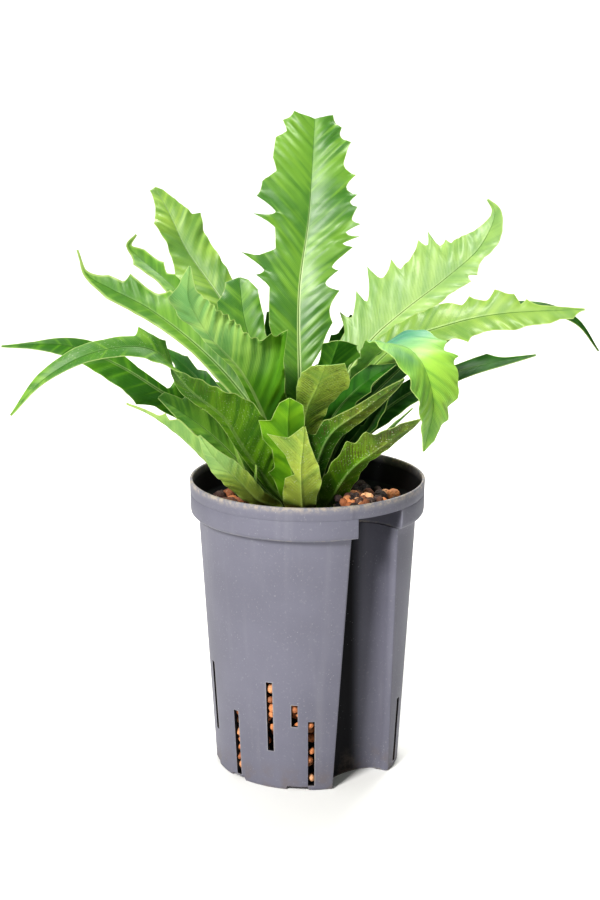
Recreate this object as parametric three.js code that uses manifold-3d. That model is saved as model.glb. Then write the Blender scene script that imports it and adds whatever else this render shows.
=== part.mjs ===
// A bird's nest fern with torn, hooked leaf edges, in the culture pot that it is grown in.
// Millimetres, +Z up. The origin is the middle of the pot's underside, and the front is -Y.

import * as THREE from 'three';
import { mergeVertices } from 'three/addons/utils/BufferGeometryUtils.js';
import Module from 'manifold-3d';

const wasm = await Module();
wasm.setup();

// The pot
const POT_HEIGHT = 190;
const RIM_RADIUS = 75;
const BASE_RADIUS = 59.6;
const BAND_HEIGHT = 22;
const WALL_RADIUS_UNDER_BAND = 69.5;
const WALL = 2;
const FLOOR = 2.5;
const FOOT_ROUNDING = 1.1;
const LIP_RADIUS = 1;
const LIP_SOFTENING = 0.4;
const BAND_CORNER_IN = 1.3;
const BAND_CORNER_UP = 0.8;
const BAND_STEP_HEIGHT = 3.5;
const BAND_TAPER = 0.6;
const POT_SIDES = 60;

// The gauge channel in the pot's wall: a round-backed groove, closed by a roof under the rim
const CHANNEL_AZIMUTH = 38;
const CHANNEL_BACK = 40;
const CHANNEL_HALF_WIDTH_BASE = 20.8;
const CHANNEL_HALF_WIDTH_TOP = 16;
const CHANNEL_MOUTH_BASE = 50;
const CHANNEL_MOUTH_TOP = 62;
const CHANNEL_CORNER = 6;
const CHANNEL_FLARE_TOP = 169;
const CHANNEL_ROOF = 181;
const CHANNEL_BAND_HALF_WIDTH = 17;

// The slots and foot pads round the pot's foot
const SLOT_WIDTH = 4;
const SLOT_CUT_DEPTH = 24;
const SLOT_PITCH = 24.35;
const SLOT_HIGH = [26, 72.5];
const SLOT_LOW = [3.5, 47.5];
const SLOT_SHORT = { azimuth: -7.5, z: [44, 58.5] };
const FIRST_SLOT_AZIMUTH = 70;
const SLOT_COUNT = 13;
const PAD_HEIGHT = 2.2;
const PAD_DEPTH = 12;
const PAD_GAPS = [
  [-54, -42], [-12.8, 0.6], [92, 104], [140, 152], [188, 200], [236, 248], [276, 288],
];

// The filling and the crown
const FILL_TOP = 171;
const FILL_GAP = 0.4;
const PEBBLE_COUNT = 78;
const PEBBLE_RADIUS = 7;
const PEBBLE_SPREAD = 64;
const PEBBLE_TURN = 137.5;
const PEBBLE_SQUASH = [1, 0.85, 0.8];
const BED_BELOW_TOP = 2;
const FILL_SIDES = 32;
const PEBBLE_SEED = 7;
const CROWN = { x: -7, y: -2, radiusX: 33, radiusY: 33, top: 168.2, bottom: 122 };
const CROWN_GAP = 0.4;
const CROWN_SIDES = 28;
const CROWN_LEVELS = [[0.35, 0], [0.8, 0.3], [1, 0.7], [1, 1]];

// The fronds
const FROND_BASE_Z = 168.5;
const STALK_RISE = 6;
const FIRST_ROW = 10;
const VEIN_LEAN = 0.25;
const WAVE_FULL_WIDTH = 30;
const LEFT_WAVE_LEAD = 1.9;
const NO_WAVE = { height: 0, length: 40, start: 0 };
const RIB_THICKNESS = 1.5;
const EDGE_THICKNESS = 0.8;
const LONGEST_STEP = 17;
const SHORTEST_STEP = 2;
const BASE_HALF_WIDTH = 3;
const TIP_HALF_WIDTH = 0.7;

// Teeth by rule: the share of the length where they start, the share that they take up, how much of
// a tooth's own step its notch lies behind it, and how narrow a notch may make the blade
const TORN = { start: 0.34, span: 0.6, notchStep: 0.16, narrowest: 0.45, leastHalf: 2, stalkShare: 0.12 };

const COLOURS = {
  pot: { color: 0x85868f, roughness: 0.6 },
  clay: { color: 0x8a4f33, roughness: 0.95 },
  crown: { color: 0x3c2a1c, roughness: 0.95 },
  frondLight: { color: 0x86b84a, roughness: 0.4 },
  frondMid: { color: 0x5c9a34, roughness: 0.4 },
  frondDark: { color: 0x2f6b26, roughness: 0.45 },
  frondOlive: { color: 0x7d9440, roughness: 0.55 },
};

function material(name) {
  return new THREE.MeshStandardMaterial({ ...COLOURS[name], metalness: 0 });
}

// A seeded draw between 0 and 1
function seededDraw(seed) {
  let state = seed * 2654435761 % 4294967296;
  return () => {
    state = (state + 0x6d2b79f5) % 4294967296;
    let t = Math.imul(state ^ (state >>> 15), state | 1);
    t ^= t + Math.imul(t ^ (t >>> 7), t | 61);
    return ((t ^ (t >>> 14)) >>> 0) / 4294967296;
  };
}

const radians = THREE.MathUtils.degToRad;

// Where a place at an azimuth from the front lies on the ground plan
function around(azimuth, radius) {
  const angle = radians(azimuth);
  return [radius * Math.sin(angle), -radius * Math.cos(angle)];
}

function solidOf(geometry) {
  const bare = geometry.clone();
  bare.deleteAttribute('normal');
  bare.deleteAttribute('uv');
  const merged = mergeVertices(bare, 1e-4);
  return new wasm.Manifold(new wasm.Mesh({
    numProp: 3,
    vertProperties: new Float32Array(merged.attributes.position.array),
    triVerts: new Uint32Array(merged.index.array),
  }));
}

function geometryOf(solid) {
  const mesh = solid.getMesh();
  const geometry = new THREE.BufferGeometry();
  geometry.setAttribute('position', new THREE.BufferAttribute(mesh.vertProperties, 3));
  geometry.setIndex(new THREE.BufferAttribute(mesh.triVerts, 1));
  const faceted = geometry.toNonIndexed();
  faceted.computeVertexNormals();
  return faceted;
}

// A boolean can leave a loose scrap, which is dropped
function largestBody(solid) {
  return solid.decompose().sort((a, b) => b.volume() - a.volume())[0];
}

function latheSolid(profile, sides) {
  const points = profile.map(([r, z]) => new THREE.Vector2(r, z));
  const geometry = new THREE.LatheGeometry(points, sides);
  geometry.rotateX(Math.PI / 2);
  return solidOf(geometry);
}

// A closed skin over rings of points that all have the same count
function loftSolid(rings) {
  const count = rings[0].length;
  const positions = rings.flat(2);
  const index = [];
  for (let r = 0; r + 1 < rings.length; r += 1) {
    for (let k = 0; k < count; k += 1) {
      const a = r * count + k;
      const b = r * count + (k + 1) % count;
      index.push(a, b, b + count, a, b + count, a + count);
    }
  }
  const last = (rings.length - 1) * count;
  const cap = THREE.ShapeUtils.triangulateShape(rings[0].map(([x, y]) => new THREE.Vector2(x, y)), []);
  for (const [a, b, c] of cap) {
    index.push(c, b, a);
    index.push(last + a, last + b, last + c);
  }
  const geometry = new THREE.BufferGeometry();
  geometry.setAttribute('position', new THREE.Float32BufferAttribute(positions, 3));
  geometry.setIndex(index);
  return solidOf(geometry);
}

// The pot's outer radius on its plain wall
function wallRadius(z) {
  return BASE_RADIUS + (WALL_RADIUS_UNDER_BAND - BASE_RADIUS) * z / (POT_HEIGHT - BAND_HEIGHT);
}

function potOutside() {
  const bandBottom = POT_HEIGHT - BAND_HEIGHT;
  return latheSolid([
    [0, 0],
    [BASE_RADIUS - FOOT_ROUNDING, 0],
    [wallRadius(FOOT_ROUNDING), FOOT_ROUNDING],
    [wallRadius(bandBottom), bandBottom],
    [RIM_RADIUS - BAND_CORNER_IN, bandBottom + BAND_CORNER_UP],
    [RIM_RADIUS - LIP_SOFTENING, bandBottom + BAND_STEP_HEIGHT],
    [RIM_RADIUS - LIP_SOFTENING / 2, POT_HEIGHT - 2 * LIP_RADIUS],
    [RIM_RADIUS, POT_HEIGHT - LIP_RADIUS],
    [RIM_RADIUS - LIP_SOFTENING, POT_HEIGHT - LIP_SOFTENING / 2],
    [RIM_RADIUS - LIP_RADIUS, POT_HEIGHT],
    [0, POT_HEIGHT],
  ], POT_SIDES);
}

function potInside(shrink, sides = POT_SIDES) {
  const bandBottom = POT_HEIGHT - BAND_HEIGHT;
  return latheSolid([
    [0, FLOOR + shrink],
    [wallRadius(FLOOR) - WALL - shrink, FLOOR + shrink],
    [wallRadius(bandBottom) - WALL - shrink, bandBottom],
    [RIM_RADIUS - WALL - BAND_TAPER - shrink, bandBottom + BAND_STEP_HEIGHT],
    [RIM_RADIUS - WALL - shrink, POT_HEIGHT - LIP_RADIUS],
    [RIM_RADIUS - WALL + BAND_TAPER - shrink, POT_HEIGHT + 1],
    [0, POT_HEIGHT + 1],
  ], sides);
}

// One level section of the channel, grown outwards by a margin: a half ellipse at the back, then a
// rounded corner where it meets the wall, then straight out past the wall
function channelSection(z, halfWidth, mouth, corner, margin) {
  const [ux, uy] = around(CHANNEL_AZIMUTH, 1);
  const back = CHANNEL_BACK - margin;
  const inner = halfWidth + margin;
  const side = [];
  for (const angle of [0, 18, 36, 54, 72, 90]) {
    const a = radians(angle);
    side.push([mouth - (mouth - back) * Math.cos(a), inner * Math.sin(a)]);
  }
  for (const angle of corner > 0 ? [30, 60] : []) {
    const a = radians(angle);
    side.push([mouth + corner * Math.sin(a), inner + corner * (1 - Math.cos(a))]);
  }
  const [, widest] = side[side.length - 1];
  side.push([mouth + corner + 1.5, widest + corner * 0.9 + 0.01]);
  side.push([RIM_RADIUS + 12, widest + corner * 0.9 + 0.01]);
  const mirrored = side.slice(1).map(([along, across]) => [along, -across]);
  return [...side.reverse(), ...mirrored].map(([along, across]) => [
    along * ux - across * uy,
    along * uy + across * ux,
    z,
  ]);
}

function channelSolid(margin) {
  const levels = [0, 1].map((t) => {
    const z = THREE.MathUtils.lerp(-2, CHANNEL_FLARE_TOP, t);
    const halfWidth = THREE.MathUtils.lerp(CHANNEL_HALF_WIDTH_BASE, CHANNEL_HALF_WIDTH_TOP, t);
    const mouth = THREE.MathUtils.lerp(CHANNEL_MOUTH_BASE, CHANNEL_MOUTH_TOP, t);
    return channelSection(z, halfWidth, mouth, CHANNEL_CORNER, margin);
  });
  const upper = [CHANNEL_FLARE_TOP - 1, CHANNEL_ROOF + margin].map((z) => (
    channelSection(z, CHANNEL_BAND_HALF_WIDTH, CHANNEL_MOUTH_TOP, 0, margin)
  ));
  return loftSolid(levels).add(loftSolid(upper));
}

function slotSolid(azimuth, [bottom, top]) {
  const geometry = new THREE.BoxGeometry(SLOT_WIDTH, SLOT_CUT_DEPTH, top - bottom);
  geometry.translate(0, -wallRadius(bottom), (top + bottom) / 2);
  geometry.rotateZ(radians(azimuth));
  return solidOf(geometry);
}

function potSlots() {
  const slots = [slotSolid(SLOT_SHORT.azimuth, SLOT_SHORT.z)];
  for (let k = 0; k < SLOT_COUNT; k += 1) {
    const high = k % 2 === 1;
    slots.push(slotSolid(FIRST_SLOT_AZIMUTH + k * SLOT_PITCH, high ? SLOT_HIGH : SLOT_LOW));
  }
  return slots;
}

// A notch under the pot's edge, between two foot pads
function footNotch(from, to) {
  const azimuths = [from, (from + to) / 2, to];
  const outer = azimuths.map((azimuth) => around(azimuth, BASE_RADIUS + 3));
  const inner = azimuths.map((azimuth) => around(azimuth, BASE_RADIUS - PAD_DEPTH)).reverse();
  const shape = new THREE.Shape([...outer, ...inner].map(([x, y]) => new THREE.Vector2(x, y)));
  const geometry = new THREE.ExtrudeGeometry(shape, { depth: PAD_HEIGHT + 1, bevelEnabled: false });
  geometry.translate(0, 0, -1);
  return solidOf(geometry);
}

function pot() {
  let walls = potOutside().subtract(channelSolid(0));
  walls = walls.subtract(potInside(0).subtract(channelSolid(WALL)));
  for (const slot of potSlots()) {
    walls = walls.subtract(slot);
  }
  for (const [from, to] of PAD_GAPS) {
    walls = walls.subtract(footNotch(from, to));
  }
  return new THREE.Mesh(geometryOf(walls), material('pot'));
}

// Granules on top of the filling: a spiral of places, each a squashed ball of few faces
function pebblePlaces() {
  const draw = seededDraw(PEBBLE_SEED);
  const places = [];
  for (let k = 0; k < PEBBLE_COUNT; k += 1) {
    const radius = PEBBLE_SPREAD * Math.sqrt((k + 0.5) / PEBBLE_COUNT);
    const [x, y] = around(k * PEBBLE_TURN, radius);
    const size = PEBBLE_RADIUS * (0.75 + 0.5 * draw());
    places.push({ x, y, z: FILL_TOP - 1.5 + 2.5 * draw(), size, turn: 360 * draw() });
  }
  return places;
}

function pebbleSolid({ x, y, z, size, turn }) {
  const geometry = new THREE.IcosahedronGeometry(size, 0);
  geometry.scale(...PEBBLE_SQUASH);
  geometry.rotateZ(radians(turn));
  geometry.translate(x, y, z);
  return solidOf(geometry);
}

function crownPlan(margin) {
  const outline = [];
  for (let k = 0; k < CROWN_SIDES; k += 1) {
    const a = radians(k * 360 / CROWN_SIDES);
    const x = CROWN.x + (CROWN.radiusX + margin) * Math.cos(a);
    const y = CROWN.y + (CROWN.radiusY + margin) * Math.sin(a);
    outline.push([x, y]);
  }
  return outline;
}

function crownHole() {
  const ring = (z) => crownPlan(CROWN_GAP).map(([x, y]) => [x, y, z]);
  return loftSolid([ring(CROWN.bottom - CROWN_GAP), ring(POT_HEIGHT + 20)]);
}

function clayPebbles() {
  const top = FILL_TOP - BED_BELOW_TOP;
  const ceiling = latheSolid([[0, -1], [RIM_RADIUS, -1], [RIM_RADIUS, top], [0, top]], 12);
  const allowed = potInside(FILL_GAP, FILL_SIDES).subtract(channelSolid(WALL + FILL_GAP));
  let bed = allowed.intersect(ceiling);
  for (const place of pebblePlaces()) {
    bed = bed.add(pebbleSolid(place));
  }
  bed = largestBody(bed.intersect(allowed).subtract(crownHole()));
  return new THREE.Mesh(geometryOf(bed), material('clay'));
}

// The crown is a short stout stock, widest under its flat top, which the fronds stand on
function crown() {
  const rings = CROWN_LEVELS.map(([scale, t]) => crownPlan(0).map(([x, y]) => [
    CROWN.x + (x - CROWN.x) * scale,
    CROWN.y + (y - CROWN.y) * scale,
    THREE.MathUtils.lerp(CROWN.bottom, CROWN.top, t),
  ]));
  return new THREE.Mesh(geometryOf(loftSolid(rings)), material('crown'));
}

// Linear reading of a list of [at, value]
function readList(list, at) {
  if (at <= list[0][0]) {
    return list[0][1];
  }
  for (let k = 1; k < list.length; k += 1) {
    const [x1, y1] = list[k];
    if (at <= x1) {
      const [x0, y0] = list[k - 1];
      return y0 + (y1 - y0) * (at - x0) / Math.max(x1 - x0, 1e-6);
    }
  }
  return list[list.length - 1][1];
}

// The midrib, and at each place along it the sideways and upward directions of the blade
class Rib {
  constructor({ base, rib, face, roll }) {
    const start = new THREE.Vector3(base[0], base[1], FROND_BASE_Z);
    const points = [start, start.clone().setZ(FROND_BASE_Z + STALK_RISE)];
    for (const point of rib) {
      points.push(new THREE.Vector3(...point));
    }
    this.curve = new THREE.CatmullRomCurve3(points, false, 'centripetal');
    this.length = this.curve.getLength();
    this.roll = roll;
    const outward = new THREE.Vector3(...around(face, 1), 0);
    this.sideways = outward.cross(new THREE.Vector3(0, 0, 1));
  }

  // Past the tip the midrib goes straight on
  frame(along) {
    const share = THREE.MathUtils.clamp(along / this.length, 0, 1);
    const point = this.curve.getPointAt(share);
    const tangent = this.curve.getTangentAt(share);
    point.addScaledVector(tangent, along - share * this.length);
    const side = this.sideways.clone().addScaledVector(tangent, -this.sideways.dot(tangent)).normalize();
    const steps = this.roll.map((angle, k) => [k / Math.max(this.roll.length - 1, 1), angle]);
    side.applyAxisAngle(tangent, -radians(readList(steps, share)));
    const up = side.clone().cross(tangent);
    return { point, side, up };
  }
}

// A point of the blade: out along a vein that leaves the midrib at a place and leans forwards.
// Both halves rise from the midrib by the fold, and the edge waves up and down.
function bladePoint(rib, spec, along, across) {
  const out = Math.abs(across);
  const { point, side, up } = rib.frame(along + out * VEIN_LEAN);
  const fold = radians(spec.fold);
  const wave = spec.wave ?? NO_WAVE;
  const turn = 2 * Math.PI * along / wave.length + wave.start + (across < 0 ? LEFT_WAVE_LEAD : 0);
  const lift = wave.height * (out / WAVE_FULL_WIDTH) ** 1.5 * Math.sin(turn);
  const centre = point.clone()
    .addScaledVector(side, across * Math.cos(fold))
    .addScaledVector(up, out * Math.sin(fold) + lift);
  return { centre, up };
}

// Torn teeth by rule along one edge of a plain blade: a swelling half-width, cut by a notch
// after each tooth
function tornEdge(length, { half, teeth, depth }, seed) {
  const draw = seededDraw(seed);
  const list = [[length * TORN.stalkShare, BASE_HALF_WIDTH + 0.5]];
  for (let k = 0; k < teeth; k += 1) {
    const share = TORN.start + TORN.span * (k + 0.6 * draw()) / teeth;
    const swelling = Math.sin(Math.PI * (share * 0.9 + 0.04)) ** 0.7;
    const full = Math.max(half * swelling, TORN.leastHalf);
    const cut = depth * (0.5 + draw());
    const notch = share + TORN.notchStep / teeth;
    list.push([length * share, full]);
    list.push([length * notch, Math.max(full - cut, full * TORN.narrowest)]);
  }
  return list;
}

// Both edges from the narrow base to the tip, from the lists or by the rule
function bladeEdges(rib, { left, right, torn }) {
  const lists = torn ? [1, 2].map((k) => tornEdge(rib.length, torn, torn.seed * 10 + k)) : [left, right];
  return lists.map((list) => [[0, BASE_HALF_WIDTH], ...list, [rib.length, TIP_HALF_WIDTH]]);
}

// Places along the midrib where the blade gets a row of points: every point of the two edge lists,
// and more where two of them lie far apart
function bladePlaces(rib, left, right) {
  const wanted = [FIRST_ROW, ...left.map(([u]) => u), ...right.map(([u]) => u)];
  wanted.sort((a, b) => a - b);
  const places = [];
  for (const place of wanted) {
    const last = places.length ? places[places.length - 1] : place - SHORTEST_STEP;
    if (place > rib.length || place - last < SHORTEST_STEP) {
      continue;
    }
    const steps = Math.ceil((place - last) / LONGEST_STEP);
    for (let k = 1; k <= steps; k += 1) {
      places.push(last + (place - last) * k / steps);
    }
  }
  return places;
}

// A closed blade: rows of points across it, once above and once below, split into triangles alike
function frond(spec) {
  const rib = new Rib(spec);
  const columns = spec.columns ?? [-1, 0, 1];
  const [left, right] = bladeEdges(rib, spec);
  const places = bladePlaces(rib, left, right);
  const positions = [];
  for (const sign of [1, -1]) {
    for (const place of places) {
      for (const column of columns) {
        const half = Math.max(readList(column < 0 ? left : right, place), TIP_HALF_WIDTH);
        const { centre, up } = bladePoint(rib, spec, place, column * half);
        const thickness = THREE.MathUtils.lerp(RIB_THICKNESS, EDGE_THICKNESS, Math.abs(column));
        positions.push(...centre.addScaledVector(up, sign * thickness / 2).toArray());
      }
    }
  }
  const width = columns.length;
  const under = places.length * width;
  const at = (row, column) => row * width + column;
  const index = [];
  for (let r = 0; r + 1 < places.length; r += 1) {
    for (let c = 0; c + 1 < width; c += 1) {
      const [a, b, d, e] = [at(r, c), at(r, c + 1), at(r + 1, c), at(r + 1, c + 1)];
      const rightHalf = columns[c] >= 0;
      const faces = rightHalf ? [[a, b, e], [a, e, d]] : [[a, b, d], [b, e, d]];
      for (const [p, q, s] of faces) {
        index.push(p, q, s);
        index.push(under + s, under + q, under + p);
      }
    }
    for (const c of [0, width - 1]) {
      const [a, d] = [at(r, c), at(r + 1, c)];
      const wall = [[a, d, under + d], [a, under + d, under + a]];
      for (const [p, q, s] of wall) {
        index.push(...(c === 0 ? [p, q, s] : [s, q, p]));
      }
    }
  }
  for (const r of [0, places.length - 1]) {
    for (let c = 0; c + 1 < width; c += 1) {
      const [a, b] = [at(r, c), at(r, c + 1)];
      const wall = [[b, a, under + a], [b, under + a, under + b]];
      for (const [p, q, s] of wall) {
        index.push(...(r === 0 ? [p, q, s] : [s, q, p]));
      }
    }
  }
  const geometry = new THREE.BufferGeometry();
  geometry.setAttribute('position', new THREE.Float32BufferAttribute(positions, 3));
  geometry.setIndex(index);
  const faceted = geometry.toNonIndexed();
  faceted.computeVertexNormals();
  return new THREE.Mesh(faceted, material(spec.colour));
}

const FIVE = [-1, -0.5, 0, 0.5, 1];

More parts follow.
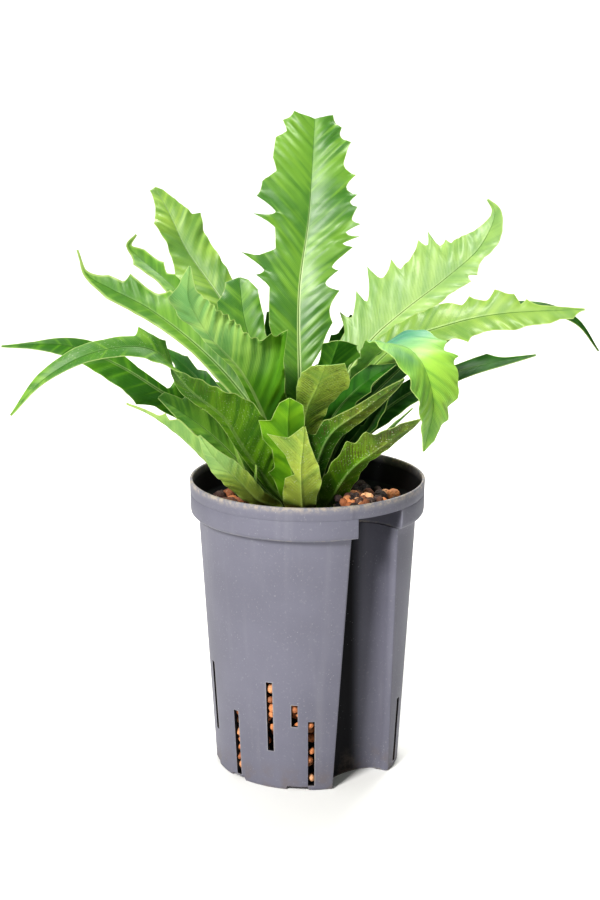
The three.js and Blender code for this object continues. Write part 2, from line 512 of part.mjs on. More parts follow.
// Each frond: where it stands on the crown, the points of its midrib, the azimuth that it faces
// away to, its roll at even steps from base to tip, and its two edges as [place along the midrib,
// half-width]. A high value between two low ones is a tooth.
const FRONDS = {
  tall_centre: {
    base: [-6, 8],
    rib: [[-3, 12, 204], [-5, 20, 253], [-5, 34, 304], [1, 52, 348], [3, 64, 376], [5, 80, 409]],
    face: 180,
    roll: [0],
    fold: 8,
    columns: FIVE,
    left: [[40, 4], [70, 9.5], [88, 11.5], [111, 19], [134, 19.5], [138, 29], [143, 24], [147, 40],
      [151, 27], [158, 18.5], [171, 21], [175, 36], [183, 22], [189, 35], [200, 32], [210, 23], [218, 26],
      [233, 25], [239, 18], [246, 21], [254, 14]],
    right: [[40, 4], [88, 8], [98, 15.5], [112, 22], [121, 20], [133, 26], [140, 16.5], [148, 24],
      [151, 19.5], [163, 31], [166, 24], [169, 34.5], [173, 25], [176, 34], [180, 28], [187, 31],
      [191, 26], [195, 30.5], [202, 23], [209, 29], [218, 20.5], [231, 24.5], [239, 17], [243, 18],
      [254, 12]],
    colour: 'frondMid',
  },
  left_back: {
    base: [-15, 16],
    rib: [[-17, 32, 212], [-34, 48, 254], [-55, 64, 290], [-80, 78, 324], [-91, 86, 346], [-101, 94, 363]],
    face: -140,
    roll: [0, 10, 20, 15],
    fold: 12,
    columns: FIVE,
    left: [[40, 4], [90, 9], [130, 15], [167, 18], [190, 12], [203, 15], [229, 5]],
    right: [[40, 4], [90, 9], [140, 14], [168, 16], [186, 17], [199, 20], [203, 13], [227, 4]],
    colour: 'frondMid',
  },
  left_small_curled: {
    base: [-22, 12],
    rib: [[-29, 30, 213], [-47, 50, 249], [-71, 68, 280], [-94, 80, 303], [-111, 88, 316],
      [-119, 90, 325], [-114, 92, 332]],
    face: -125,
    roll: [10, 20, 30],
    fold: 12,
    left: [[40, 3.5], [110, 10], [150, 9], [172, 6], [193, 8], [207, 2]],
    right: [[40, 3.5], [110, 11], [150, 10], [169, 8], [174, 4.5], [180, 9], [196, 7], [205, 2.5]],
    colour: 'frondDark',
  },
  left_curly_tip: {
    base: [-19, 7],
    rib: [[-23, 10, 211], [-45, 24, 242], [-72, 36, 268], [-103, 46, 290], [-128, 52, 302],
      [-143, 54, 311], [-149, 54, 327]],
    face: -112,
    roll: [30, 50, 60, 50],
    fold: 10,
    columns: FIVE,
    left: [[40, 4], [95, 7], [120, 6], [150, 7], [166, 8], [188, 7.5], [205, 3], [218, 1]],
    right: [[40, 4], [90, 12], [130, 17], [153, 18], [162, 11], [180, 15], [184, 8], [194, 7.5],
      [198, 5.5], [212, 1]],
    colour: 'frondMid',
  },
  left_broad_ruffled: {
    base: [-16, -2],
    rib: [[-15, -6, 195], [-25, -12, 226], [-40, -22, 261], [-61, -30, 288], [-72, -34, 310],
      [-71, -36, 330]],
    face: -60,
    roll: [-50],
    fold: 10,
    wave: { height: 6, length: 34, start: 1 },
    columns: FIVE,
    left: [[30, 5], [70, 17], [88, 26], [96, 37], [99, 30], [103, 31], [106, 22], [120, 18],
      [138, 15.5], [150, 12], [164, 5]],
    right: [[30, 4], [60, 5], [107, 4], [135, 6], [150, 11], [159, 12], [170, 5]],
    colour: 'frondLight',
  },
  small_upright_back: {
    base: [-13, 10],
    rib: [[-20, 22, 215], [-31, 34, 252], [-41, 42, 285], [-44, 48, 310]],
    face: 180,
    roll: [0],
    fold: 8,
    left: [[40, 4], [90, 12], [120, 16], [132, 16], [146, 9.5]],
    right: [[40, 4], [90, 12], [108, 11], [120, 13], [139, 11.5], [147, 6]],
    colour: 'frondMid',
  },
  far_left: {
    base: [-29, -4],
    rib: [[-33, -6, 195], [-58, -14, 227], [-88, -22, 248], [-116, -30, 268], [-146, -34, 281],
      [-186, -36, 281]],
    face: -92,
    roll: [60],
    fold: 10,
    left: [[30, 4], [75, 10], [106, 11], [117, 17], [134, 12.5], [162, 9.5], [180, 6.5], [199, 2.5]],
    right: [[30, 4], [75, 14], [98, 9], [102, 13], [106, 4], [129, 5], [145, 8], [164, 6.5], [194, 2]],
    colour: 'frondDark',
  },
  arching_left: {
    base: [-14, -12],
    rib: [[-23, -22, 189], [-39, -38, 217], [-51, -50, 240], [-69, -64, 259], [-92, -78, 287],
      [-124, -86, 287], [-153, -90, 272], [-173, -92, 251]],
    face: -75,
    roll: [-50, -55, -60, -60, -40, 50, 50, 45, 40],
    fold: 10,
    columns: FIVE,
    left: [[20, 6], [38, 12.5], [64, 22], [84, 20], [110, 13], [130, 9], [154, 8.5], [191, 5.5],
      [210, 4], [237, 1.5]],
    right: [[20, 4], [64, 5], [100, 6], [125, 9], [148, 14], [154, 10], [164, 13], [168, 7],
      [185, 6.5], [201, 7], [226, 5]],
    colour: 'frondMid',
  },
  left_green_blade: {
    base: [-22, -6],
    rib: [[-31, -14, 188], [-47, -22, 209], [-63, -30, 227], [-79, -36, 241], [-91, -40, 250]],
    face: -85,
    roll: [40],
    fold: 10,
    left: [[20, 4], [48, 6.5], [72, 11], [95, 8], [104, 5]],
    right: [[20, 5], [51, 11], [66, 11], [80, 15], [84, 10], [95, 14], [99, 8], [111, 6]],
    colour: 'frondMid',
  },
  low_left: {
    base: [-28, -10],
    rib: [[-40, -26, 182], [-62, -40, 210], [-82, -52, 233], [-96, -60, 245], [-108, -66, 252]],
    face: -80,
    roll: [-40],
    fold: 30,
    left: [[15, 4], [40, 8], [77, 8], [100, 8], [104, 4], [109, 6], [113, 2]],
    right: [[15, 4], [40, 8], [80, 8], [105, 7], [120, 3]],
    colour: 'frondLight',
  },
  front_left_olive: {
    base: [-20, -20],
    rib: [[-31, -34, 184], [-44, -46, 201], [-57, -58, 218], [-65, -64, 232]],
    face: -45,
    roll: [-35],
    fold: 6,
    left: [[20, 7], [43, 9], [64, 8], [80, 4]],
    right: [[20, 7], [43, 10], [62, 9.5], [82, 4]],
    colour: 'frondOlive',
  },
  front_forked: {
    base: [-2, -28],
    rib: [[-3, -44, 183], [-4, -58, 211], [-3, -64, 224], [-2, -70, 239]],
    face: 0,
    roll: [0],
    fold: 6,
    left: [[12, 6], [21, 8], [29, 9], [41, 12.5], [53, 11], [73, 4]],
    right: [[12, 9], [21, 12], [31, 12], [44, 10], [49, 4], [59, 9], [72, 22], [75, 9]],
    colour: 'frondOlive',
  },
  front_rounded: {
    base: [-8, -20],
    rib: [[-8, -34, 186], [-10, -44, 212], [-12, -52, 233], [-11, -60, 254]],
    face: 0,
    roll: [0],
    fold: 5,
    left: [[25, 8], [63, 10.5], [82, 10], [91, 8.5]],
    right: [[25, 10], [40, 15], [45, 11], [58, 11], [66, 16], [75, 18], [79, 10], [92, 6]],
    colour: 'frondMid',
  },
  front_foreshortened: {
    base: [-3, -12],
    rib: [[-2, -18, 192], [-2, -26, 220], [-1, -38, 240], [6, -62, 263], [10, -84, 279]],
    face: 8,
    roll: [0],
    fold: 5,
    columns: FIVE,
    left: [[30, 5], [65, 11], [83, 14], [96, 21], [107, 20], [125, 15], [134, 12]],
    right: [[30, 5], [65, 7], [85, 8], [102, 12], [128, 12], [135, 8]],
    colour: 'frondOlive',
  },
  centre_olive: {
    base: [0, -4],
    rib: [[0, -4, 195], [4, -8, 228], [13, -16, 262], [19, -28, 283]],
    face: 20,
    roll: [0],
    fold: 5,
    left: [[30, 4], [70, 10], [95, 14], [101, 20], [111, 15], [118, 6]],
    right: [[30, 4], [70, 8], [105, 8.5], [116, 10], [119, 5]],
    colour: 'frondOlive',
  },
  right_upper_pale: {
    base: [2, 6],
    rib: [[7, 14, 203], [21, 24, 244], [42, 34, 272], [62, 40, 289], [90, 46, 310], [112, 50, 330],
      [121, 52, 352], [116, 52, 360]],
    face: 105,
    roll: [-30, -45, -50, -50, -40],
    fold: 8,
    columns: FIVE,
    left: [[40, 4], [85, 12], [105, 17], [110, 28.5], [114, 19.5], [123, 31], [126, 20.5], [136, 39.5],
      [142, 26], [151, 33], [154, 23], [167, 26], [174, 32], [178, 25], [182, 33], [185, 20], [191, 20.5],
      [194, 16], [199, 16], [208, 12], [217, 8], [230, 3]],
    right: [[40, 4], [85, 10], [130, 12], [170, 11], [186, 14.5], [189, 9], [192, 13], [204, 7],
      [208, 9], [213, 10], [221, 9.5], [235, 4]],
    colour: 'frondLight',
  },
  right_pale: {
    base: [8, 4],
    rib: [[12, 2, 210], [30, -4, 247], [56, -12, 277], [86, -20, 291], [117, -26, 299], [168, -32, 303]],
    face: 88,
    roll: [-30, -50, -60, -60],
    fold: 8,
    columns: FIVE,
    left: [[40, 4], [90, 11], [140, 13], [158, 14], [167, 10], [171, 15], [182, 10], [186, 16],
      [198, 11.5], [203, 5], [206, 8], [218, 3.5]],
    right: [[40, 4], [90, 9], [130, 12], [158, 10], [166, 15.5], [174, 11], [183, 10], [196, 12],
      [219, 9], [226, 6], [234, 6]],
    colour: 'frondLight',
  },
  right_dark_droop: {
    base: [12, 10],
    rib: [[21, 10, 211], [59, 14, 256], [103, 16, 288], [148, 16, 295], [170, 16, 287], [185, 16, 268]],
    face: 95,
    roll: [-30, -40],
    fold: 10,
    left: [[40, 4], [90, 9], [150, 9], [190, 6], [219, 3.5], [236, 2]],
    right: [[40, 4], [90, 9], [150, 9], [190, 6], [219, 4], [236, 2]],
    colour: 'frondDark',
  },
  right_drooping_front: {
    base: [11, -2],
    rib: [[10, -8, 206], [26, -18, 247], [38, -34, 272], [52, -58, 286], [65, -84, 282],
      [72, -96, 260], [67, -98, 231]],
    face: 50,
    roll: [-30, -20, 0, 0],
    fold: 10,
    columns: FIVE,
    left: [[30, 4], [80, 9], [116, 13], [140, 22], [157, 26], [165, 21], [170, 27], [175, 23],
      [180, 22], [189, 22], [197, 20], [203, 14], [210, 15], [225, 7]],
    right: [[30, 4], [80, 9], [116, 13], [140, 22], [156, 26], [171, 27], [176, 25], [183, 21],
      [190, 24], [202, 19.5], [219, 8]],
    colour: 'frondMid',
  },
  right_low_dark: {
    base: [14, 4],
    rib: [[24, -4, 208], [58, -10, 242], [95, -14, 261], [141, -18, 272]],
    face: 90,
    roll: [-50],
    fold: 10,
    left: [[30, 4], [75, 9], [110, 8], [130, 5], [149, 7], [165, 2]],
    right: [[30, 4], [75, 9], [110, 8], [130, 6.5], [143, 5.5], [157, 4]],
    colour: 'frondDark',
  },
  right_lower_front: {
    base: [10, -22],
    rib: [[14, -32, 183], [27, -46, 207], [46, -58, 225], [67, -68, 243]],
    face: 60,
    roll: [30],
    fold: 8,
    columns: FIVE,
    left: [[10, 8], [23, 11], [44, 11], [72, 7.5], [100, 4]],
    right: [[10, 6], [35, 13], [50, 16], [63, 20], [67, 15], [77, 17], [82, 11], [96, 7.5]],
    colour: 'frondOlive',
  },
  left_dark_behind: {
    base: [-27, 9],
    rib: [[-30, 10, 202], [-52, 14, 228], [-76, 20, 255], [-96, 24, 270]],
    face: -100,
    roll: [70],
    fold: 10,
    torn: { half: 9, teeth: 4, depth: 3, seed: 3 },
    colour: 'frondDark',
  },
  left_dark_low: {
    base: [-24, 0],
    rib: [[-30, 4, 192], [-45, 1, 213], [-59, -3, 235], [-70, -5, 251]],
    face: -85,
    roll: [70],
    fold: 10,
    torn: { half: 13, teeth: 3, depth: 4, seed: 4 },
    colour: 'frondDark',
  },
  young_left: {
    base: [-18, -12],
    rib: [[-37, -26, 193], [-43, -30, 208], [-46, -32, 220]],
    face: -60,
    roll: [0],
    fold: 15,
    left: [[20, 3.5], [40, 4], [52, 3]],
    right: [[20, 3.5], [40, 4], [52, 3]],
    colour: 'frondLight',
  },
  young_small: {
    base: [-20, -16],
    rib: [[-32, -29, 188], [-32, -35, 206]],
    face: -60,
    roll: [0],
    fold: 15,
    left: [[15, 2.5], [28, 2.5]],
    right: [[15, 2.5], [28, 2.5]],
    colour: 'frondLight',
  },
  right_speckled: {
    base: [2, -18],
    rib: [[5, -32, 202], [14, -44, 228], [33, -56, 246], [57, -66, 267]],
    face: 60,
    roll: [50],
    fold: 10,
    left: [[20, 5], [45, 7], [75, 8], [105, 6], [122, 3]],
    right: [[20, 6], [50, 11], [58, 13], [61, 8], [70, 9], [74, 7], [92, 5], [115, 3]],
    colour: 'frondOlive',
  },
  right_dark_upper: {
    base: [4, -8],
    rib: [[6, -20, 211], [19, -34, 241], [36, -44, 261], [53, -50, 273]],
    face: 70,
    roll: [-60],
    fold: 10,
    torn: { half: 12, teeth: 4, depth: 4, seed: 5 },
    colour: 'frondDark',
  },
  right_pale_rib: {
    base: [16, -7],
    rib: [[26, -13, 204], [38, -19, 224], [47, -24, 242], [53, -26, 256]],
    face: 75,
    roll: [-30],
    fold: 10,
    torn: { half: 11, teeth: 4, depth: 4, seed: 6 },
    colour: 'frondDark',
  },
  right_small_light: {
    base: [12, -15],
    rib: [[24, -28, 197], [40, -38, 218], [56, -48, 238], [63, -52, 246]],
    face: 65,
    roll: [0],
    fold: 8,
    torn: { half: 9, teeth: 4, depth: 3, seed: 7 },
    colour: 'frondLight',
  },
  back_dark_right: {
    base: [0, 14],
    rib: [[3, 30, 206], [12, 46, 239], [23, 58, 267], [29, 62, 283]],
    face: 165,
    roll: [0],
    fold: 8,
    torn: { half: 12, teeth: 4, depth: 4, seed: 8 },
    colour: 'frondDark',
  },
  back_dark_left: {
    base: [-15, 20],
    rib: [[-15, 34, 205], [-20, 50, 238], [-25, 60, 263], [-26, 68, 284]],
    face: 190,
    roll: [0],
    fold: 8,
    torn: { half: 12, teeth: 4, depth: 4, seed: 9 },
    colour: 'frondDark',
  },
  back_left: {
    base: [-24, 19],
    rib: [[-33, 40, 201], [-46, 72, 224], [-56, 98, 238], [-64, 118, 238]],
    face: -152,
    roll: [0],
    fold: 12,
    torn: { half: 15, teeth: 6, depth: 6, seed: 10 },
    colour: 'frondMid',
  },
  back_middle_left: {
    base: [-8, 24],
    rib: [[-14, 48, 194], [-18, 80, 216], [-22, 110, 232], [-26, 134, 232]],
    face: -172,
    roll: [0],
    fold: 12,
    torn: { half: 15, teeth: 6, depth: 6, seed: 11 },
    colour: 'frondMid',
  },
  back_middle_right: {
    base: [0, 22],
    rib: [[6, 46, 196], [12, 78, 221], [18, 108, 238], [24, 132, 240]],
    face: 170,
    roll: [0],
    fold: 12,
    torn: { half: 15, teeth: 6, depth: 6, seed: 12 },
    colour: 'frondMid',
  },
  back_right: {
    base: [8, 16],
    rib: [[20, 38, 196], [36, 64, 219], [50, 88, 232], [62, 108, 234]],
    face: 150,
    roll: [0],
    fold: 12,
    torn: { half: 14, teeth: 6, depth: 6, seed: 13 },
    colour: 'frondMid',
  },
};

const fern = new THREE.Group();

function addPart(name, mesh) {
  mesh.name = name;
  fern.add(mesh);
}

addPart('pot', pot());
addPart('clay_pebbles', clayPebbles());
addPart('crown', crown());
for (const [name, spec] of Object.entries(FRONDS)) {
  addPart(`frond_${name}`, frond(spec));
}

export default fern;
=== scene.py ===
"""A bird's nest fern with torn, hooked fronds in its culture pot: fine surfaces and finishes over the
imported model. Shapes are worked out in millimetres with numpy and stored in metres."""

import itertools
import math
from functools import partialmethod

import bpy
import numpy as np
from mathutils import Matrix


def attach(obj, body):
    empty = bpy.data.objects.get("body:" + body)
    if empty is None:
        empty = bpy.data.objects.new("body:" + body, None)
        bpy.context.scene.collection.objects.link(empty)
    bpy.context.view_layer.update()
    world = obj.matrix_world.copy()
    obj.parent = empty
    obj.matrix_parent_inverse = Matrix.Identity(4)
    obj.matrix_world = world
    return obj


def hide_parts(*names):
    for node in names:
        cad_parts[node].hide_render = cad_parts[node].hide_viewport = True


bl_info = {
    "name": "Potted bird's nest fern",
    "version": (1, 0, 0),
    "blender": (4, 5, 0),
    "location": "View3D > Sidebar > Fern",
    "description": "Fronds, clay granules, crown, culture pot and studio for a bird's nest fern",
    "category": "Object",
}

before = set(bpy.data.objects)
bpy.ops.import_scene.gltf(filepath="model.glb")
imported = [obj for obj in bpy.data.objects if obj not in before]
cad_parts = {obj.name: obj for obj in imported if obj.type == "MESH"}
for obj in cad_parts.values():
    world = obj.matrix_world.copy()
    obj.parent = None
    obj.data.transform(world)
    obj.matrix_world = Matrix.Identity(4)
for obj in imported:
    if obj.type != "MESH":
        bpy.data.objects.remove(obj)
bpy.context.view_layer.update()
MM = 0.001

# The pot, as its solid is built
POT_HEIGHT = 190
RIM_RADIUS = 75
BASE_RADIUS = 59.6
BAND_BOTTOM = 168
BAND_TOP_OF_STEP = 171.5
WALL_RADIUS_UNDER_BAND = 69.5
WALL = 2
FLOOR = 2.5
LIP_RADIUS = 1
FOOT_ROUNDING = 1.1
CHANNEL_AZIMUTH = 38
CHANNEL_BACK = 40
CHANNEL_HALF_WIDTHS = (20.8, 16)
CHANNEL_MOUTHS = (50, 62)
CHANNEL_CORNER = 6
CHANNEL_SPAN = (-2, 169)
CHANNEL_ROOF = 181
BAND_NOTCH_HALF = 17
BAND_NOTCH_FILLET = 1.4
SLOT_WIDTH = 4
SLOT_PITCH = 24.35
SLOT_HIGH = (26, 72.5)
SLOT_LOW = (3.5, 47.5)
SLOT_SHORT = (-7.5, (44, 58.5))
FIRST_SLOT = 70
SLOT_COUNT = 13
PAD_HEIGHT = 2.2
PAD_DEPTH = 12
PAD_GAPS = ((-54, -42), (-12.8, 0.6), (92, 104), (140, 152), (188, 200), (236, 248), (276, 288))

# The pot's finer form: columns in degrees round it, and the band, its top and the inside of the rim as
# the rings of their profiles
COLUMN_STEP = 1.25
ROUND_PART = (29.5, 330.6)
MARKED_PART = (29, 331)
EASE_COLUMNS = 5
LEAST_COLUMN_GAP = 0.3
SLOT_RIM_SHARE = 1.55
PAD_FLANK = 0.4
LEVEL_STEP = 8
SLOT_RIM_HEIGHT = 0.9
LIP_STEPS = 9
POLE_SCALE = 0.02
BAND_PROFILE = ((0, -5.3), (0.05, -2.2), (0.5, -1.3), (1.4, -0.7), (BAND_TOP_OF_STEP - BAND_BOTTOM, -0.4))
BAND_UPPER = (
    (176, -0.3, "band"),
    (CHANNEL_ROOF - 0.5, -0.3, "band"),
    (CHANNEL_ROOF, -0.5, "band"),
    (CHANNEL_ROOF, -0.6, "round"),
    (CHANNEL_ROOF + 0.5, -0.3, "round"),
    (185, -0.2, "round"),
)
RIM_INSIDE = (
    (184.2, -0.1, 0, "round"),
    (CHANNEL_ROOF + WALL, -0.2, 0, "round"),
    (CHANNEL_ROOF + WALL, -0.2, WALL, "band"),
    (BAND_TOP_OF_STEP, -0.6, WALL, "band"),
)

# Wear and painted shade, from 0 to 1: how deep the channel is where its shade is painted in full, the
# angles to the right of its middle over which that painted shade fades, how much of it is painted inside
# the pot, and the wear of foot, band edge, lip and slots
PAINTED_SHADE_DEPTH = 5
PAINTED_SHADE_ANGLES = (5, 9, 13, 19)
PAINTED_SHADE_SHARES = (1.0, 0.8, 0.35, 0.0)
PAINTED_SHADE_INSIDE = 0.9
WEAR_FOOT = 0.6
WEAR_BAND = 0.5
WEAR_LIP = 0.6
WEAR_SLOT = 0.8

# The filling: granules as (how many, level, least and greatest size) in each layer, then those behind the
# slots as (degrees to the side, gap to the wall), and those on the channel's roof
FILL_TOP = 171
GRANULE_SEED = 7
FILL_LAYERS = ((190, FILL_TOP, 3.2, 6.6), (150, FILL_TOP - 7, 4.5, 6.5))
FILL_REACH = 67
GRANULE_WALL = 67.3
GOLDEN_TURN = 137.508
SLOT_GRANULES = ((-5.5, 1.5), (0, -0.9), (5.5, 1.5))
SLOT_GRANULE_STEP = 6.1
SLOT_OVERRUN = (2, 5)
SLOT_GRANULE_SIZES = (2.4, 3.5)
HIGHEST_BEHIND_SLOT = 150
SET_BACK_SHARE = 0.3
SET_BACK = 7
ROOF_GRANULES = 34
ROOF_GRANULE_SIZES = (2.3, 3.6)
ROOF_SPREAD = (-13, 13)
ROOF_REACH = (41, 66)

# How granules lie off their even places, in millimetres and degrees, and how far they keep from other
# pieces: each share is one of the granule's own size
REACH_UNREST = (-2, 2)
TURN_UNREST = (-3, 3)
LEVEL_UNREST = (-1.5, 1.2)
SLOT_TURN_UNREST = (-1.4, 1.4)
SLOT_LEVEL_UNREST = (-1.5, 1.5)
SINK_SHARE = 0.45
LEAN_SHARE = 0.93
ROOF_LIFT = (0.55, 0.9)
CLEAR_OF_CROWN = 0.6
CLEAR_OF_CHANNEL = 0.5
FLOOR_GAP = 0.2

# A granule's own form, as its least and greatest size along three axes and the waves that dent it, and
# the tone where the paler part of the clay's tones starts, which those behind the slots take: painted
# light, standing in for the light they catch through the slots
SQUASH = ((0.85, 0.8, 0.72), (1.12, 1.0, 0.92))
DENT_WAVES = 3
DENT_DEPTH = 0.055
DENT_FINENESS = 2.6
DENT_STARTS = (0, 6.28)
PAINTED_LIGHT_TONE_FROM = 0.62

# The plain bed under the granules, as (radius, height), and how far out it may reach under the channel:
# in the middle, how much further at the sides, and half the width of that stretch
BED_SIDES = 48
BED_BOTTOM = 5
BED_TOP = 164
BED_PROFILE = (
    (0.5, BED_BOTTOM), (36, BED_BOTTOM), (36, 90), (36, 150), (60, 158), (60, BED_TOP), (0.5, BED_TOP)
)
BED_CHANNEL = (36.5, 18, 26)

# The crown
CROWN_CENTRE = (-7, -2)
CROWN_RADIUS = 33
CROWN_TOP = 168.2
CROWN_BOTTOM = 122
CROWN_DOME = 3
CROWN_SHOULDER = 0.53
CROWN_FLARE = 1.9
CROWN_TAPER = 0.65
CROWN_GRID = (120, 34)
CROWN_SEED = 11
CROWN_SCALES = 520
SCALE_DEPTH = 2.2
SCALE_SPREAD = (0.02, 0.9)
SCALE_STEEPNESS = (0.8, 2.2)
SCALE_LENGTHS = (3, 7)
SCALE_HALF_WIDTHS = (0.4, 0.9)
SCALE_THICKNESS_SHARE = 0.12
LUMP_REACH, LUMP_HEIGHT = 0.9, 0.8

# The fronds, in millimetres
FROND_BASE_Z = 168.5
STALK_RISE = 6
VEIN_LEAN = 0.25
VEIN_RUN = 1.0
BASE_HALF_WIDTH = 3
TIP_HALF_WIDTH = 0.7
WAVE_FULL_WIDTH = 30
LEFT_WAVE_LEAD = 1.9
NO_WAVE = dict(height=0, length=40, start=0)

# Teeth by rule: the share of the length where they start, the share that they take up, how much of a
# tooth's own step its notch lies behind it, and how narrow a notch may make the blade
TORN_START = 0.34
TORN_SPAN = 0.6
TORN_NOTCH_STEP = 0.16
TORN_NARROWEST = 0.45
TORN_LEAST_HALF = 2
TORN_STALK_SHARE = 0.12

# A point of an edge is a tooth if it stands out this far from both neighbours, or from the next one
TOOTH_LEAST = 1.5
TOOTH_HOOK = 4

# The rows and columns of points of a blade
ROW_CLEARANCE = 0.35
LEAST_ROW_GAP = 0.12
RIB_COLUMNS = (0, 0.35, 0.7, 1.1, 1.6)
RIB_FULL_HALF = 6
OUTER_COLUMNS = 11

# The blade's relief as the length of each wave, and the height that it reaches
PLEAT_LENGTH, PLEAT_HEIGHT = 9.5, 0.75
FINE_LENGTH, FINE_HEIGHT = 3.1, 0.1
EDGE_LENGTH, EDGE_HEIGHT = 13, 0.8
SWELL_LENGTH, SWELL_HEIGHT = 47, 1.2
RUFFLE_LENGTH = 8
PLEAT_BEAT_LENGTH, PLEAT_FADE_LENGTH = 19, 11
FINE_UNREST_LENGTH, RUFFLE_UNREST_LENGTH = 9, 13
ARCH_HEIGHT = 1.1
ARCH_FULL_HALF = 20
RELIEF_STARTS, RELIEF_GROWS = 5, 8
RELIEF_CLEAR_OF_RIB = 4

# The blade's half thickness at its edge and how much it gains at the rib, then the rib: how stout it is
# along the blade, and its width and height above and below for a stoutness of 1
SKIN_EDGE = 0.22
SKIN_GAIN = 0.18
RIB_SHARES = (0, 0.15, 1)
RIB_STOUTNESS = (1.5, 1.1, 0.35)
RIDGE_WIDTH, RIDGE_HEIGHT, RIDGE_UNDER = 0.75, 0.42, 0.55
GROOVE_WIDTH, GROOVE_DEPTH = 0.28, 0.3
